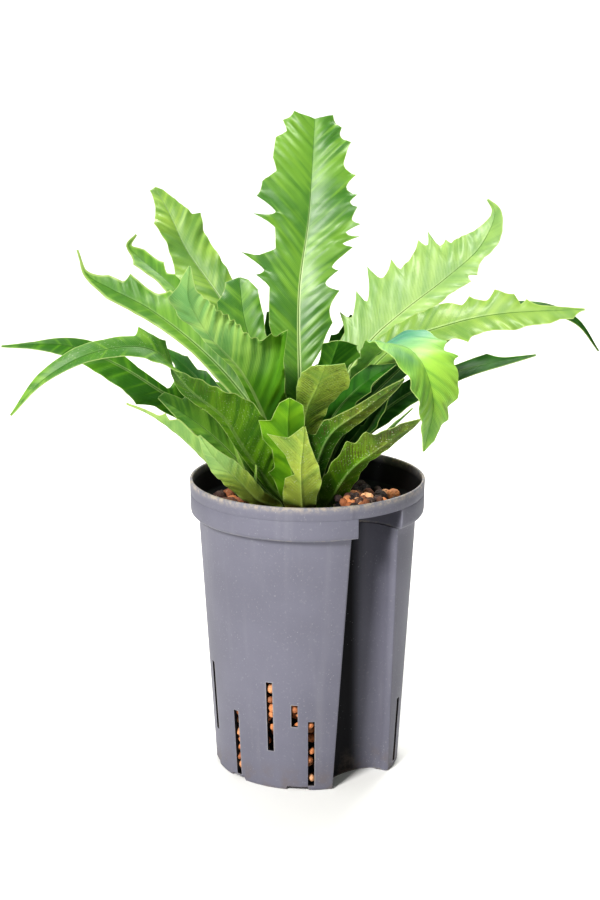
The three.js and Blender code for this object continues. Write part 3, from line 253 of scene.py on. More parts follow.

# Each frond: its foot on the crown, the azimuth that its under side faces, the fold of its halves, its
# roll at even steps, the points of its midrib, both edges as (place along the midrib, half-width) or torn
# teeth by rule, and a wave along it, if it has one. Then its finish: the tints of its upper and under side
# and of its outer end, the share of the length where the end's tint takes over (turn), how strongly the
# foot is painted dark as shade where the fronds crowd (dusk), how strong the patches are (depth), the pale
# rib (rib_tone) and the gloss, how high it is pleated and ruffled, how wide its pale hem is, and how many
# dust specks (speckle) and spore lines (spores) it has
FRONDS = dict(
    tall_centre=dict(
        base=(-6, 8), face=180, fold=8,
        rib=[(-3, 12, 204), (-5, 20, 253), (-5, 34, 304), (1, 52, 348), (3, 64, 376), (5, 80, 409)],
        left=[(40, 4), (70, 9.5), (88, 11.5), (111, 19), (134, 19.5), (138, 29), (143, 24), (147, 40),
            (151, 27), (158, 18.5), (171, 21), (175, 36), (183, 22), (189, 35), (200, 32), (210, 23),
            (218, 26), (233, 25), (239, 18), (246, 21), (254, 14)],
        right=[(40, 4), (88, 8), (98, 15.5), (112, 22), (121, 20), (133, 26), (140, 16.5), (148, 24),
            (151, 19.5), (163, 31), (166, 24), (169, 34.5), (173, 25), (176, 34), (180, 28), (187, 31),
            (191, 26), (195, 30.5), (202, 23), (209, 29), (218, 20.5), (231, 24.5), (239, 17), (243, 18),
            (254, 12)],
        upper="bright", under="pale", dusk=0.7, rib_tone=0.9, gloss=1.0, pleat=0.95, ruffle=0.4,
    ),
    left_back=dict(
        base=(-15, 16), face=-140, fold=12, roll=[0, 10, 20, 15],
        rib=[(-17, 32, 212), (-34, 48, 254), (-55, 64, 290), (-80, 78, 324), (-91, 86, 346),
            (-101, 94, 363)],
        left=[(40, 4), (90, 9), (130, 15), (167, 18), (190, 12), (203, 15), (229, 5)],
        right=[(40, 4), (90, 9), (140, 14), (168, 16), (186, 17), (199, 20), (203, 13), (227, 4)],
        upper="pale", under="pale", depth=0.8, rib_tone=0.7, gloss=1.0, pleat=0.9, ruffle=0.4,
    ),
    left_small_curled=dict(
        base=(-22, 12), face=-125, fold=12, roll=[10, 20, 30],
        rib=[(-29, 30, 213), (-47, 50, 249), (-71, 68, 280), (-94, 80, 303), (-111, 88, 316),
            (-119, 90, 325), (-114, 92, 332)],
        left=[(40, 3.5), (110, 10), (150, 9), (172, 6), (193, 8), (207, 2)],
        right=[(40, 3.5), (110, 11), (150, 10), (169, 8), (174, 4.5), (180, 9), (196, 7), (205, 2.5)],
        upper="bright", under="pale", depth=0.8, gloss=0.4, hem=1.6,
    ),
    left_curly_tip=dict(
        base=(-19, 7), face=-112, fold=10, roll=[30, 50, 60, 50],
        rib=[(-23, 10, 211), (-45, 24, 242), (-72, 36, 268), (-103, 46, 290), (-128, 52, 302),
            (-143, 54, 311), (-149, 54, 327)],
        left=[(40, 4), (95, 7), (120, 6), (150, 7), (166, 8), (188, 7.5), (205, 3), (218, 1)],
        right=[(40, 4), (90, 12), (130, 17), (153, 18), (162, 11), (180, 15), (184, 8), (194, 7.5),
            (198, 5.5), (212, 1)],
        upper="bright", under="bright", depth=0.8, gloss=0.3, pleat=0.9, hem=1.8,
    ),
    left_broad_ruffled=dict(
        base=(-16, -2), face=-60, fold=10, roll=[-50],
        rib=[(-15, -6, 195), (-25, -12, 226), (-40, -22, 261), (-61, -30, 288), (-72, -34, 310),
            (-71, -36, 330)],
        left=[(30, 5), (70, 17), (88, 26), (96, 37), (99, 30), (103, 31), (106, 22), (120, 18),
            (138, 15.5), (150, 12), (164, 5)],
        right=[(30, 4), (60, 5), (107, 4), (135, 6), (150, 11), (159, 12), (170, 5)],
        wave=dict(height=6, length=34, start=1), upper="pale", under="mid", ends="young", dusk=0.9,
        depth=1.0, pleat=1.2, ruffle=1.8,
    ),
    small_upright_back=dict(
        base=(-13, 10), face=180, fold=8,
        rib=[(-20, 22, 215), (-31, 34, 252), (-41, 42, 285), (-44, 48, 310)],
        left=[(40, 4), (90, 12), (120, 16), (132, 16), (146, 9.5)],
        right=[(40, 4), (90, 12), (108, 11), (120, 13), (139, 11.5), (147, 6)],
        upper="cool", under="mid", ends="bright", gloss=1.0,
    ),
    far_left=dict(
        base=(-29, -4), face=-92, fold=10, roll=[60],
        rib=[(-33, -6, 195), (-58, -14, 227), (-88, -22, 248), (-116, -30, 268), (-146, -34, 281),
            (-186, -36, 281)],
        left=[(30, 4), (75, 10), (106, 11), (117, 17), (134, 12.5), (162, 9.5), (180, 6.5), (199, 2.5)],
        right=[(30, 4), (75, 14), (98, 9), (102, 13), (106, 4), (129, 5), (145, 8), (164, 6.5),
            (194, 2)],
        upper="mid", under="deep", ends="mid", pleat=0.8,
    ),
    arching_left=dict(
        base=(-14, -12), face=-75, fold=10, roll=[-50, -55, -60, -60, -40, 50, 50, 45, 40],
        rib=[(-23, -22, 189), (-39, -38, 217), (-51, -50, 240), (-69, -64, 259), (-92, -78, 287),
            (-124, -86, 287), (-153, -90, 272), (-173, -92, 251)],
        left=[(20, 6), (38, 12.5), (64, 22), (84, 20), (110, 13), (130, 9), (154, 8.5), (191, 5.5),
            (210, 4), (237, 1.5)],
        right=[(20, 4), (64, 5), (100, 6), (125, 9), (148, 14), (154, 10), (164, 13), (168, 7),
            (185, 6.5), (201, 7), (226, 5)],
        upper="mid", under="olive", ends="bright", turn=0.55, dusk=0.0, rib_tone=0.15, gloss=0.25,
        speckle=0.4, spores=0.3,
    ),
    left_green_blade=dict(
        base=(-22, -6), face=-85, fold=10, roll=[40],
        rib=[(-31, -14, 188), (-47, -22, 209), (-63, -30, 227), (-79, -36, 241), (-91, -40, 250)],
        left=[(20, 4), (48, 6.5), (72, 11), (95, 8), (104, 5)],
        right=[(20, 5), (51, 11), (66, 11), (80, 15), (84, 10), (95, 14), (99, 8), (111, 6)],
        upper="bright", under="mid", gloss=0.6, pleat=0.9,
    ),
    low_left=dict(
        base=(-28, -10), face=-80, fold=30, roll=[-40],
        rib=[(-40, -26, 182), (-62, -40, 210), (-82, -52, 233), (-96, -60, 245), (-108, -66, 252)],
        left=[(15, 4), (40, 8), (77, 8), (100, 8), (104, 4), (109, 6), (113, 2)],
        right=[(15, 4), (40, 8), (80, 8), (105, 7), (120, 3)],
        upper="young", under="young", dusk=0.2, depth=0.5, hem=1.2,
    ),
    front_left_olive=dict(
        base=(-20, -20), face=-45, fold=6, roll=[-35],
        rib=[(-31, -34, 184), (-44, -46, 201), (-57, -58, 218), (-65, -64, 232)],
        left=[(20, 7), (43, 9), (64, 8), (80, 4)],
        right=[(20, 7), (43, 10), (62, 9.5), (82, 4)],
        upper="bright", under="straw", ends="young", dusk=0.1, depth=0.6, rib_tone=0.15, ruffle=0.6,
        speckle=0.4,
    ),
    front_forked=dict(
        base=(-2, -28), face=0, fold=6,
        rib=[(-3, -44, 183), (-4, -58, 211), (-3, -64, 224), (-2, -70, 239)],
        left=[(12, 6), (21, 8), (29, 9), (41, 12.5), (53, 11), (73, 4)],
        right=[(12, 9), (21, 12), (31, 12), (44, 10), (49, 4), (59, 9), (72, 22), (75, 9)],
        upper="bright", under="straw", dusk=0.1, depth=0.6, rib_tone=0.15, speckle=0.8, spores=0.25,
    ),
    front_rounded=dict(
        base=(-8, -20), face=0, fold=5,
        rib=[(-8, -34, 186), (-10, -44, 212), (-12, -52, 233), (-11, -60, 254)],
        left=[(25, 8), (63, 10.5), (82, 10), (91, 8.5)],
        right=[(25, 10), (40, 15), (45, 11), (58, 11), (66, 16), (75, 18), (79, 10), (92, 6)],
        upper="bright", under="lime", ends="lime", dusk=0.0, depth=0.8, rib_tone=0.15,
    ),
    front_foreshortened=dict(
        base=(-3, -12), face=8, fold=5,
        rib=[(-2, -18, 192), (-2, -26, 220), (-1, -38, 240), (6, -62, 263), (10, -84, 279)],
        left=[(30, 5), (65, 11), (83, 14), (96, 21), (107, 20), (125, 15), (134, 12)],
        right=[(30, 5), (65, 7), (85, 8), (102, 12), (128, 12), (135, 8)],
        upper="bluish", under="straw", dusk=0.2, depth=0.6, rib_tone=0.2, speckle=0.6, spores=0.7,
    ),
    centre_olive=dict(
        base=(0, -4), face=20, fold=5, rib=[(0, -4, 195), (4, -8, 228), (13, -16, 262), (19, -28, 283)],
        left=[(30, 4), (70, 10), (95, 14), (101, 20), (111, 15), (118, 6)],
        right=[(30, 4), (70, 8), (105, 8.5), (116, 10), (119, 5)],
        upper="bright", under="lime", ends="bright", dusk=0.3, rib_tone=0.2,
    ),
    right_upper_pale=dict(
        base=(2, 6), face=105, fold=8, roll=[-30, -45, -50, -50, -40],
        rib=[(7, 14, 203), (21, 24, 244), (42, 34, 272), (62, 40, 289), (90, 46, 310), (112, 50, 330),
            (121, 52, 352), (116, 52, 360)],
        left=[(40, 4), (85, 12), (105, 17), (110, 28.5), (114, 19.5), (123, 31), (126, 20.5),
            (136, 39.5), (142, 26), (151, 33), (154, 23), (167, 26), (174, 32), (178, 25), (182, 33),
            (185, 20), (191, 20.5), (194, 16), (199, 16), (208, 12), (217, 8), (230, 3)],
        right=[(40, 4), (85, 10), (130, 12), (170, 11), (186, 14.5), (189, 9), (192, 13), (204, 7),
            (208, 9), (213, 10), (221, 9.5), (235, 4)],
        upper="young", under="bright", depth=0.5, rib_tone=0.8, gloss=0.8, pleat=0.7, ruffle=0.6,
        hem=0.7,
    ),
    right_pale=dict(
        base=(8, 4), face=88, fold=8, roll=[-30, -50, -60, -60],
        rib=[(12, 2, 210), (30, -4, 247), (56, -12, 277), (86, -20, 291), (117, -26, 299),
            (168, -32, 303)],
        left=[(40, 4), (90, 11), (140, 13), (158, 14), (167, 10), (171, 15), (182, 10), (186, 16),
            (198, 11.5), (203, 5), (206, 8), (218, 3.5)],
        right=[(40, 4), (90, 9), (130, 12), (158, 10), (166, 15.5), (174, 11), (183, 10), (196, 12),
            (219, 9), (226, 6), (234, 6)],
        upper="pale", under="bright", depth=0.6, gloss=0.7, pleat=0.7, ruffle=0.4, hem=0.7,
    ),
    right_dark_droop=dict(
        base=(12, 10), face=95, fold=10, roll=[-30, -40],
        rib=[(21, 10, 211), (59, 14, 256), (103, 16, 288), (148, 16, 295), (170, 16, 287),
            (185, 16, 268)],
        left=[(40, 4), (90, 9), (150, 9), (190, 6), (219, 3.5), (236, 2)],
        right=[(40, 4), (90, 9), (150, 9), (190, 6), (219, 4), (236, 2)],
        upper="deep", under="deep",
    ),
    right_drooping_front=dict(
        base=(11, -2), face=50, fold=10, roll=[-30, -20, 0, 0],
        rib=[(10, -8, 206), (26, -18, 247), (38, -34, 272), (52, -58, 286), (65, -84, 282),
            (72, -96, 260), (67, -98, 231)],
        left=[(30, 4), (80, 9), (116, 13), (140, 22), (157, 26), (165, 21), (170, 27), (175, 23),
            (180, 22), (189, 22), (197, 20), (203, 14), (210, 15), (225, 7)],
        right=[(30, 4), (80, 9), (116, 13), (140, 22), (156, 26), (171, 27), (176, 25), (183, 21),
            (190, 24), (202, 19.5), (219, 8)],
        # Its end's tint (vivid) is painted light: a brighter green standing in for the light on the
        # drooping tip
        upper="cool", under="bright", ends="vivid", turn=0.7, depth=0.6, gloss=0.3, pleat=0.8,
    ),
    right_low_dark=dict(
        base=(14, 4), face=90, fold=10, roll=[-50],
        rib=[(24, -4, 208), (58, -10, 242), (95, -14, 261), (141, -18, 272)],
        left=[(30, 4), (75, 9), (110, 8), (130, 5), (149, 7), (165, 2)],
        right=[(30, 4), (75, 9), (110, 8), (130, 6.5), (143, 5.5), (157, 4)],
        upper="deep", under="mid",
    ),
    right_lower_front=dict(
        base=(10, -22), face=60, fold=8, roll=[30],
        rib=[(14, -32, 183), (27, -46, 207), (46, -58, 225), (67, -68, 243)],
        left=[(10, 8), (23, 11), (44, 11), (72, 7.5), (100, 4)],
        right=[(10, 6), (35, 13), (50, 16), (63, 20), (67, 15), (77, 17), (82, 11), (96, 7.5)],
        upper="mid", under="lime", ends="dusky", turn=0.66, dusk=0.1, rib_tone=0.2, speckle=1.0,
        spores=0.8,
    ),
    left_dark_behind=dict(
        base=(-27, 9), face=-100, fold=10, roll=[70],
        rib=[(-30, 10, 202), (-52, 14, 228), (-76, 20, 255), (-96, 24, 270)],
        torn=dict(half=9, teeth=4, depth=3, seed=3), upper="deep", under="deep",
    ),
    left_dark_low=dict(
        base=(-24, 0), face=-85, fold=10, roll=[70],
        rib=[(-30, 4, 192), (-45, 1, 213), (-59, -3, 235), (-70, -5, 251)],
        torn=dict(half=13, teeth=3, depth=4, seed=4), upper="deep", under="mid",
    ),
    young_left=dict(
        base=(-18, -12), face=-60, fold=15, rib=[(-37, -26, 193), (-43, -30, 208), (-46, -32, 220)],
        left=[(20, 3.5), (40, 4), (52, 3)],
        right=[(20, 3.5), (40, 4), (52, 3)],
        upper="bright", under="bright", ends="pale",
    ),
    young_small=dict(
        base=(-20, -16), face=-60, fold=15, rib=[(-32, -29, 188), (-32, -35, 206)],
        left=[(15, 2.5), (28, 2.5)],
        right=[(15, 2.5), (28, 2.5)],
        upper="bright", under="pale",
    ),
    right_speckled=dict(
        base=(2, -18), face=60, fold=10, roll=[50],
        rib=[(5, -32, 202), (14, -44, 228), (33, -56, 246), (57, -66, 267)],
        left=[(20, 5), (45, 7), (75, 8), (105, 6), (122, 3)],
        right=[(20, 6), (50, 11), (58, 13), (61, 8), (70, 9), (74, 7), (92, 5), (115, 3)],
        upper="mid", under="mid", ends="dusky", dusk=0.6, rib_tone=0.2, speckle=0.8, spores=0.8,
    ),
    right_dark_upper=dict(
        base=(4, -8), face=70, fold=10, roll=[-60],
        rib=[(6, -20, 211), (19, -34, 241), (36, -44, 261), (53, -50, 273)],
        torn=dict(half=12, teeth=4, depth=4, seed=5), upper="deep", under="deep", dusk=0.5,
    ),
    right_pale_rib=dict(
        base=(16, -7), face=75, fold=10, roll=[-30],
        rib=[(26, -13, 204), (38, -19, 224), (47, -24, 242), (53, -26, 256)],
        torn=dict(half=11, teeth=4, depth=4, seed=6), upper="deep", under="mid", rib_tone=0.9,
    ),
    right_small_light=dict(
        base=(12, -15), face=65, fold=8,
        rib=[(24, -28, 197), (40, -38, 218), (56, -48, 238), (63, -52, 246)],
        torn=dict(half=9, teeth=4, depth=3, seed=7), upper="bright", under="bright", speckle=0.4,
    ),
    back_dark_right=dict(
        base=(0, 14), face=165, fold=8, rib=[(3, 30, 206), (12, 46, 239), (23, 58, 267), (29, 62, 283)],
        torn=dict(half=12, teeth=4, depth=4, seed=8), upper="deep", under="mid",
    ),
    back_dark_left=dict(
        base=(-15, 20), face=190, fold=8,
        rib=[(-15, 34, 205), (-20, 50, 238), (-25, 60, 263), (-26, 68, 284)],
        torn=dict(half=12, teeth=4, depth=4, seed=9), upper="deep", under="mid",
    ),
    back_left=dict(
        base=(-24, 19), face=-152, fold=12,
        rib=[(-33, 40, 201), (-46, 72, 224), (-56, 98, 238), (-64, 118, 238)],
        torn=dict(half=15, teeth=6, depth=6, seed=10), upper="mid", under="bright",
    ),
    back_middle_left=dict(
        base=(-8, 24), face=-172, fold=12,
        rib=[(-14, 48, 194), (-18, 80, 216), (-22, 110, 232), (-26, 134, 232)],
        torn=dict(half=15, teeth=6, depth=6, seed=11), upper="mid", under="bright",
    ),
    back_middle_right=dict(
        base=(0, 22), face=170, fold=12,
        rib=[(6, 46, 196), (12, 78, 221), (18, 108, 238), (24, 132, 240)],
        torn=dict(half=15, teeth=6, depth=6, seed=12), upper="mid", under="bright",
    ),
    back_right=dict(
        base=(8, 16), face=150, fold=12,
        rib=[(20, 38, 196), (36, 64, 219), (50, 88, 232), (62, 108, 234)],
        torn=dict(half=14, teeth=6, depth=6, seed=13), upper="mid", under="bright",
    ),
)

# The finish of the leaves: the colours of their marks and of the painted shade at their feet (dusk), what
# the dark patches, the fresh patches and the light let through make of a tint, and the places of fine
# marks in millimetres
LEAF_MARKS = dict(
    groove=(0.035, 0.13, 0.01),
    margin=(0.50, 0.62, 0.22),
    stalk=(0.10, 0.075, 0.03),
    spore=(0.075, 0.042, 0.016),
    speck=(0.62, 0.68, 0.42),
    dusk=(0.02, 0.085, 0.006),
)
DEEP_SHARES = (0.3, 0.5, 0.6)
FRESH_SHARES = (1.3, 1.2, 1.15)
GLOW_SHARES = (1.8, 1.5, 0.6)
VEIN_PITCH = 1.3
SPORE_PITCH = 2.4
SPORES_FROM_RIB = (2.0, 4.0)
SPORES_FROM_EDGE = (1.5, 4.0)
PALE_RIB = (1.9, 1.2)
DARK_LINE = (0.62, 0.3)
TURN_BLUR = 0.11
LET_THROUGH, LET_THROUGH_SPREAD = 0.26, 0.06

# The strength of each bump and its height in metres
LEAF_BUMP = (0.45, 0.0006)
POT_BUMP = (0.25, 0.0005)
CLAY_BUMP = (0.7, 0.0012)
CROWN_BUMP = (0.8, 0.0015)

# The heights on the pot, in metres, between which lime scale and soil grow
LIME_HEIGHTS = (0.1865, 0.1892)
SOIL_HEIGHTS = (0.022, 0.0)

# The tones of fired clay, and of the crown's skin and scales, each at its place from 0 to 1
CLAY_TONES = (
    (0.0, (0.012, 0.009, 0.009)),
    (0.28, (0.045, 0.024, 0.024)),
    (0.5, (0.13, 0.052, 0.03)),
    (0.66, (0.36, 0.125, 0.05)),
    (0.84, (0.68, 0.26, 0.1)),
    (1.0, (0.8, 0.44, 0.24)),
)
CLAY_SHADE = (0.05, 0.024, 0.018)
CLAY_DUST = (0.5, 0.4, 0.32)
CROWN_TONES = ((0.3, (0.012, 0.008, 0.006)), (0.55, (0.05, 0.028, 0.014)), (0.8, (0.16, 0.09, 0.04)))
SOIL = (0.15, 0.115, 0.09)

# The studio, in metres: the paper's front, its flat part's back, its bend, its top and half its width,
# then each light's place, aim, size, power in watts and colour
PAPER_FRONT, PAPER_BACK, PAPER_BEND, PAPER_TOP, PAPER_HALF = -4.0, 3.0, 1.2, 4.0, 5.0
LIGHTS = dict(
    key_window=((-1.02, -1.71, 1.56), (0, 0, 0.22), (0.55, 0.6), 72, (1.0, 0.985, 0.95)),
    top_panel=((0.2, 0.8, 1.9), (0, 0, 0.3), (0.8, 0.6), 32, (1.0, 0.99, 0.94)),
    front_fill=((0.5, -2.6, 0.9), (0, 0, 0.2), (1.2, 0.8), 4, (0.96, 0.98, 1.0)),
    backdrop_wash=((0, 1.7, 2.9), (0, 4.1, 0.7), (4.0, 0.5), 105, (1.0, 1.0, 1.0)),
)
AIR = (0.98, 1.0, 0.92, 1.0)
SENSOR_WIDTH = 36
CLIP = (0.02, 50)


def mesh_object(name, points, faces, sharp_angle, layers=None):
    """A mesh of points in millimetres and a list of face arrays, smooth except over sharp edges, with
    named layers of one number or three numbers a point."""
    mesh = bpy.data.meshes.new(name)
    mesh.vertices.add(len(points))
    mesh.vertices.foreach_set("co", (np.asarray(points, float) * MM).astype(np.float32).ravel())
    corners = np.concatenate([np.asarray(f).ravel() for f in faces])
    sizes = np.concatenate([np.full(len(f), f.shape[1]) for f in faces])
    mesh.loops.add(len(corners))
    mesh.loops.foreach_set("vertex_index", corners.astype(np.int32))
    mesh.polygons.add(len(sizes))
    mesh.polygons.foreach_set("loop_start", (np.cumsum(sizes) - sizes).astype(np.int32))
    for layer, values in (layers or {}).items():
        values = np.asarray(values, float)
        kind, key = ("FLOAT", "value") if values.ndim == 1 else ("FLOAT_VECTOR", "vector")
        attribute = mesh.attributes.new(layer, kind, "POINT")
        attribute.data.foreach_set(key, values.astype(np.float32).ravel())
    mesh.update(calc_edges=True)
    mesh.validate()
    mesh.polygons.foreach_set("use_smooth", np.ones(len(mesh.polygons), bool))
    mesh.set_sharp_from_angle(angle=math.radians(sharp_angle))
    return linked(name, mesh)


def linked(name, data):
    """An object for a mesh, a light or a camera, in the scene."""
    thing = bpy.data.objects.new(name, data)
    bpy.context.scene.collection.objects.link(thing)
    return thing


def finish_piece(piece, material, node):
    """The piece takes its material and slot, rides on the root body and stands for its solid."""
    piece.data.materials.append(material)
    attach(piece, "root")
    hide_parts(node)


def grid_faces(rows, columns, start=0, closed=False):
    """The quads of a grid of points in rows, which may close round on themselves."""
    across = np.arange(columns if closed else columns - 1)[None, :]
    first = start + np.arange(rows - 1)[:, None] * columns
    a = first + across
    b = first + (across + 1) % columns
    return np.stack([a, b, b + columns, a + columns], -1).reshape(-1, 4)


def fan(pole, ring, outwards=True):
    """The triangles from one point to a closed ring of points."""
    ends = (np.roll(ring, -1), ring) if outwards else (ring, np.roll(ring, -1))
    return np.stack([np.full(len(ring), pole), *ends], -1)


class Value:
    """A socket of a shader tree that can be reckoned with: sums and products add Math nodes."""

    def __init__(self, shader, node, socket):
        self.shader = shader
        self.node = node
        self.socket = socket

    def out(self, name):
        return Value(self.shader, self.node, self.node.outputs[name])

    def reckon(self, operation, *others):
        return self.shader.add("Math", {"operation": operation}, dict(enumerate((self, *others))))

    def __rsub__(self, first):
        return self.shader.add("Math", {"operation": "SUBTRACT"}, {0: first, 1: self})

    __add__ = __radd__ = partialmethod(reckon, "ADD")
    __mul__ = __rmul__ = partialmethod(reckon, "MULTIPLY")
    __sub__ = partialmethod(reckon, "SUBTRACT")
    __truediv__ = partialmethod(reckon, "DIVIDE")
    __pow__ = partialmethod(reckon, "POWER")

    def band(self, low, high):
        """0 below low, 1 above high, smooth between; low may be the larger."""
        ends = {"Value": self, "From Min": low, "From Max": high, "To Min": 0.0, "To Max": 1.0}
        return self.shader.add("MapRange", {"interpolation_type": "SMOOTHSTEP"}, ends)


class Shader:
    """One material and its tree of nodes."""

    def __init__(self, name):
        self.material = bpy.data.materials.new(name)
        self.material.use_nodes = True
        self.tree = self.material.node_tree
        self.tree.nodes.clear()

    def add(self, kind, settings=None, inputs=None):
        """A node of a kind, its settings first, then values or links for its sockets."""
        node = self.tree.nodes.new("ShaderNode" + kind)
        for key, setting in (settings or {}).items():
            setattr(node, key, setting)
        for key, value in (inputs or {}).items():
            if isinstance(value, Value):
                self.tree.links.new(value.socket, node.inputs[key])
            elif isinstance(value, tuple) and node.inputs[key].type == "RGBA":
                node.inputs[key].default_value = (*value, 1.0)
            else:
                node.inputs[key].default_value = value
        first = next((o for o in node.outputs if o.enabled), None)
        return Value(self, node, first)

    def layer(self, name):
        return self.add("Attribute", {"attribute_name": name})

    def parts(self, vector):
        """The three numbers of a vector."""
        split = self.add("SeparateXYZ", {}, {"Vector": vector})
        return [split.out(axis) for axis in "XYZ"]

    def place(self):
        return self.add("TexCoord").out("Object")

    def noise(self, vector, scale, detail=3.0, roughness=0.5):
        inputs = {"Vector": vector, "Scale": scale, "Detail": detail, "Roughness": roughness}
        return self.add("TexNoise", {}, inputs)

    def cells(self, vector, scale):
        return self.add("TexVoronoi", {}, {"Vector": vector, "Scale": scale}).out("Distance")

    def mix(self, share, a, b):
        mixed = self.add("Mix", {"data_type": "RGBA", "clamp_factor": True}, {0: share, 6: a, 7: b})
        return Value(self, mixed.node, mixed.node.outputs[2])

    def ramp(self, share, stops):
        made = self.add("ValToRGB", {}, {"Fac": share})
        elements = made.node.color_ramp.elements
        while len(elements) < len(stops):
            elements.new(1.0)
        for element, (place, colour) in zip(elements, stops):
            element.position = place
            element.color = (*colour, 1.0)
        return made

    def bump(self, height, strength, distance):
        return self.add("Bump", {}, {"Height": height, "Strength": strength, "Distance": distance})

    def surface(self, **inputs):
        named = {key.replace("_", " "): value for key, value in inputs.items()}
        return self.add("BsdfPrincipled", {}, named)

    def close(self, surface):
        self.add("OutputMaterial", {}, {"Surface": surface})
        return self.material


def scaled(colour, *shares):
    """A colour with each of its three numbers multiplied, and none above 1."""
    return tuple(min(c * k, 1.0) for c, k in zip(colour, shares))


def seeded_draws(seed, count):
    """Numbers between 0 and 1 from a seeded whole-number mixing rule."""
    low = 0xFFFFFFFF
    state = seed * 2654435761 & low
    draws = []
    for _ in range(count):
        state = (state + 0x6D2B79F5) & low
        t = (state ^ (state >> 15)) * (state | 1) & low
        t ^= (t + ((t ^ (t >> 7)) * (t | 61) & low)) & low
        draws.append((t ^ (t >> 14)) / (low + 1))
    return draws


def around(azimuth, radius):
    """The place on the ground plan at an azimuth from the front."""
    angle = np.radians(azimuth)
    return radius * np.sin(angle), -radius * np.cos(angle)


class Rib:
    """The midrib: a centripetal Catmull-Rom curve read by arc length, and at each place along it the
    sideways and upward directions of the blade."""

    DIVISIONS = 200
    NEARBY = 1e-4

    def __init__(self, spec):
        x, y = spec["base"]
        self.points = np.array(
            [(x, y, FROND_BASE_Z), (x, y, FROND_BASE_Z + STALK_RISE), *spec["rib"]], float
        )
        self.turns = np.linspace(0, 1, self.DIVISIONS + 1)
        steps = np.linalg.norm(np.diff(self.curve(self.turns), axis=0), axis=1)
        self.lengths = np.concatenate([[0], np.cumsum(steps)])
        self.length = self.lengths[-1]
        roll = spec.get("roll", [0])
        self.roll = roll if len(roll) > 1 else roll * 2
        ox, oy = around(spec["face"], 1)
        self.sideways = np.array([oy, -ox, 0.0])

    def curve(self, turns):
        """Hermite cubics between the points, whose slopes weigh each gap by the root of its length."""
        points = self.points
        padded = np.vstack([2 * points[0] - points[1], points, 2 * points[-1] - points[-2]])
        spans = len(points) - 1
        reach = np.clip(np.asarray(turns), 0, 1) * spans
        index = np.minimum(reach.astype(int), spans - 1)
        w = (reach - index)[..., None]
        p0, p1, p2, p3 = (padded[index + k] for k in range(4))
        gaps = ((p0, p1), (p1, p2), (p2, p3))
        d0, d1, d2 = (np.sqrt(np.linalg.norm(b - a, axis=-1, keepdims=True)) for a, b in gaps)
        m1 = ((p1 - p0) / d0 - (p2 - p0) / (d0 + d1) + (p2 - p1) / d1) * d1
        m2 = ((p2 - p1) / d1 - (p3 - p1) / (d1 + d2) + (p3 - p2) / d2) * d1
        cubic, square = w**3, w**2
        ends = (2 * cubic - 3 * square + 1) * p1 + (3 * square - 2 * cubic) * p2
        return ends + (cubic - 2 * square + w) * m1 + (cubic - square) * m2

    def frame(self, along):
        """Point, side and up; past the tip the midrib goes straight on."""
        held = np.clip(along, 0, self.length)
        turn = np.interp(held, self.lengths, self.turns)
        near, far = (self.curve(np.clip(turn + step, 0, 1)) for step in (-self.NEARBY, self.NEARBY))
        tangent = (far - near) / np.linalg.norm(far - near, axis=-1, keepdims=True)
        point = self.curve(turn) + tangent * (along - held)[..., None]
        side = self.sideways - tangent * (tangent @ self.sideways)[..., None]
        side /= np.linalg.norm(side, axis=-1, keepdims=True)
        normal = np.cross(side, tangent)
        shares = np.linspace(0, 1, len(self.roll))
        roll = np.radians(np.interp(held / self.length, shares, self.roll))[..., None]
        side = side * np.cos(roll) + normal * np.sin(roll)
        return point, side, np.cross(side, tangent)


def torn_edge(length, half, teeth, depth, seed):
    """Teeth by rule: a swelling half-width, cut by a notch after each tooth."""
    draws = iter(seeded_draws(seed, 2 * teeth))
    edge = [(TORN_STALK_SHARE * length, BASE_HALF_WIDTH + 0.5)]
    for k in range(teeth):
        share = TORN_START + TORN_SPAN * (k + 0.6 * next(draws)) / teeth
        full = max(half * math.sin(math.pi * (share * 0.9 + 0.04)) ** 0.7, TORN_LEAST_HALF)
        cut = depth * (0.5 + next(draws))
        edge.append((length * share, full))
        edge.append((length * (share + TORN_NOTCH_STEP / teeth), max(full - cut, full * TORN_NARROWEST)))
    return edge


def blade_edges(rib, spec):
    """Both edges from the narrow base to the tip, from their lists or by the rule."""
    if "torn" in spec:
        rule = dict(spec["torn"])
        seed = rule.pop("seed") * 10
        lists = [torn_edge(rib.length, seed=seed + k, **rule) for k in (1, 2)]
    else:
        lists = [spec["left"], spec["right"]]
    return [[(0, BASE_HALF_WIDTH), *edge, (rib.length, TIP_HALF_WIDTH)] for edge in lists]


def half_widths(edge, places):
    """The half-width at each place: a tooth's two flanks bend in and meet in a sharp tip, a notch is
    round, and the plain stretches between run straight."""
    at, width = np.array(edge, float).T
    keep = np.concatenate([[True], np.diff(at) > 1e-6])
    at, width = at[keep], width[keep]
    rise = width - np.concatenate([[width[0]], width[:-1]])
    fall = width - np.concatenate([width[1:], [width[-1]]])
    tip = (rise > TOOTH_LEAST) & (fall > TOOTH_LEAST) | (fall > TOOTH_HOOK) & (rise >= 0)
    k = np.clip(np.searchsorted(at, places, side="right") - 1, 0, len(at) - 2)
    e = np.clip((places - at[k]) / (at[k + 1] - at[k]), 0, 1)
    rising, falling = tip[k + 1], tip[k]
    bent = np.where(rising & ~falling, e**1.5, np.where(falling & ~rising, 1 - (1 - e) ** 1.9, e))
    width = width[k] + (width[k + 1] - width[k]) * bent
    return np.maximum(width, TIP_HALF_WIDTH)


def blade_rows(rib, edges, step):
    """Places along the midrib: even steps, with a row on each point of both edges."""
    marks = np.concatenate([[at for at, _ in edge] for edge in edges])
    marks = marks[(marks > 0) & (marks < rib.length)]
    even = np.arange(0, rib.length, step)
    far = np.abs(even[:, None] - marks[None, :]).min(axis=1) > ROW_CLEARANCE * step
    rows = np.unique(np.round(np.concatenate([even[far], marks, [0, rib.length]]), 3))
    return rows[np.concatenate([[True], np.diff(rows) > LEAST_ROW_GAP])]


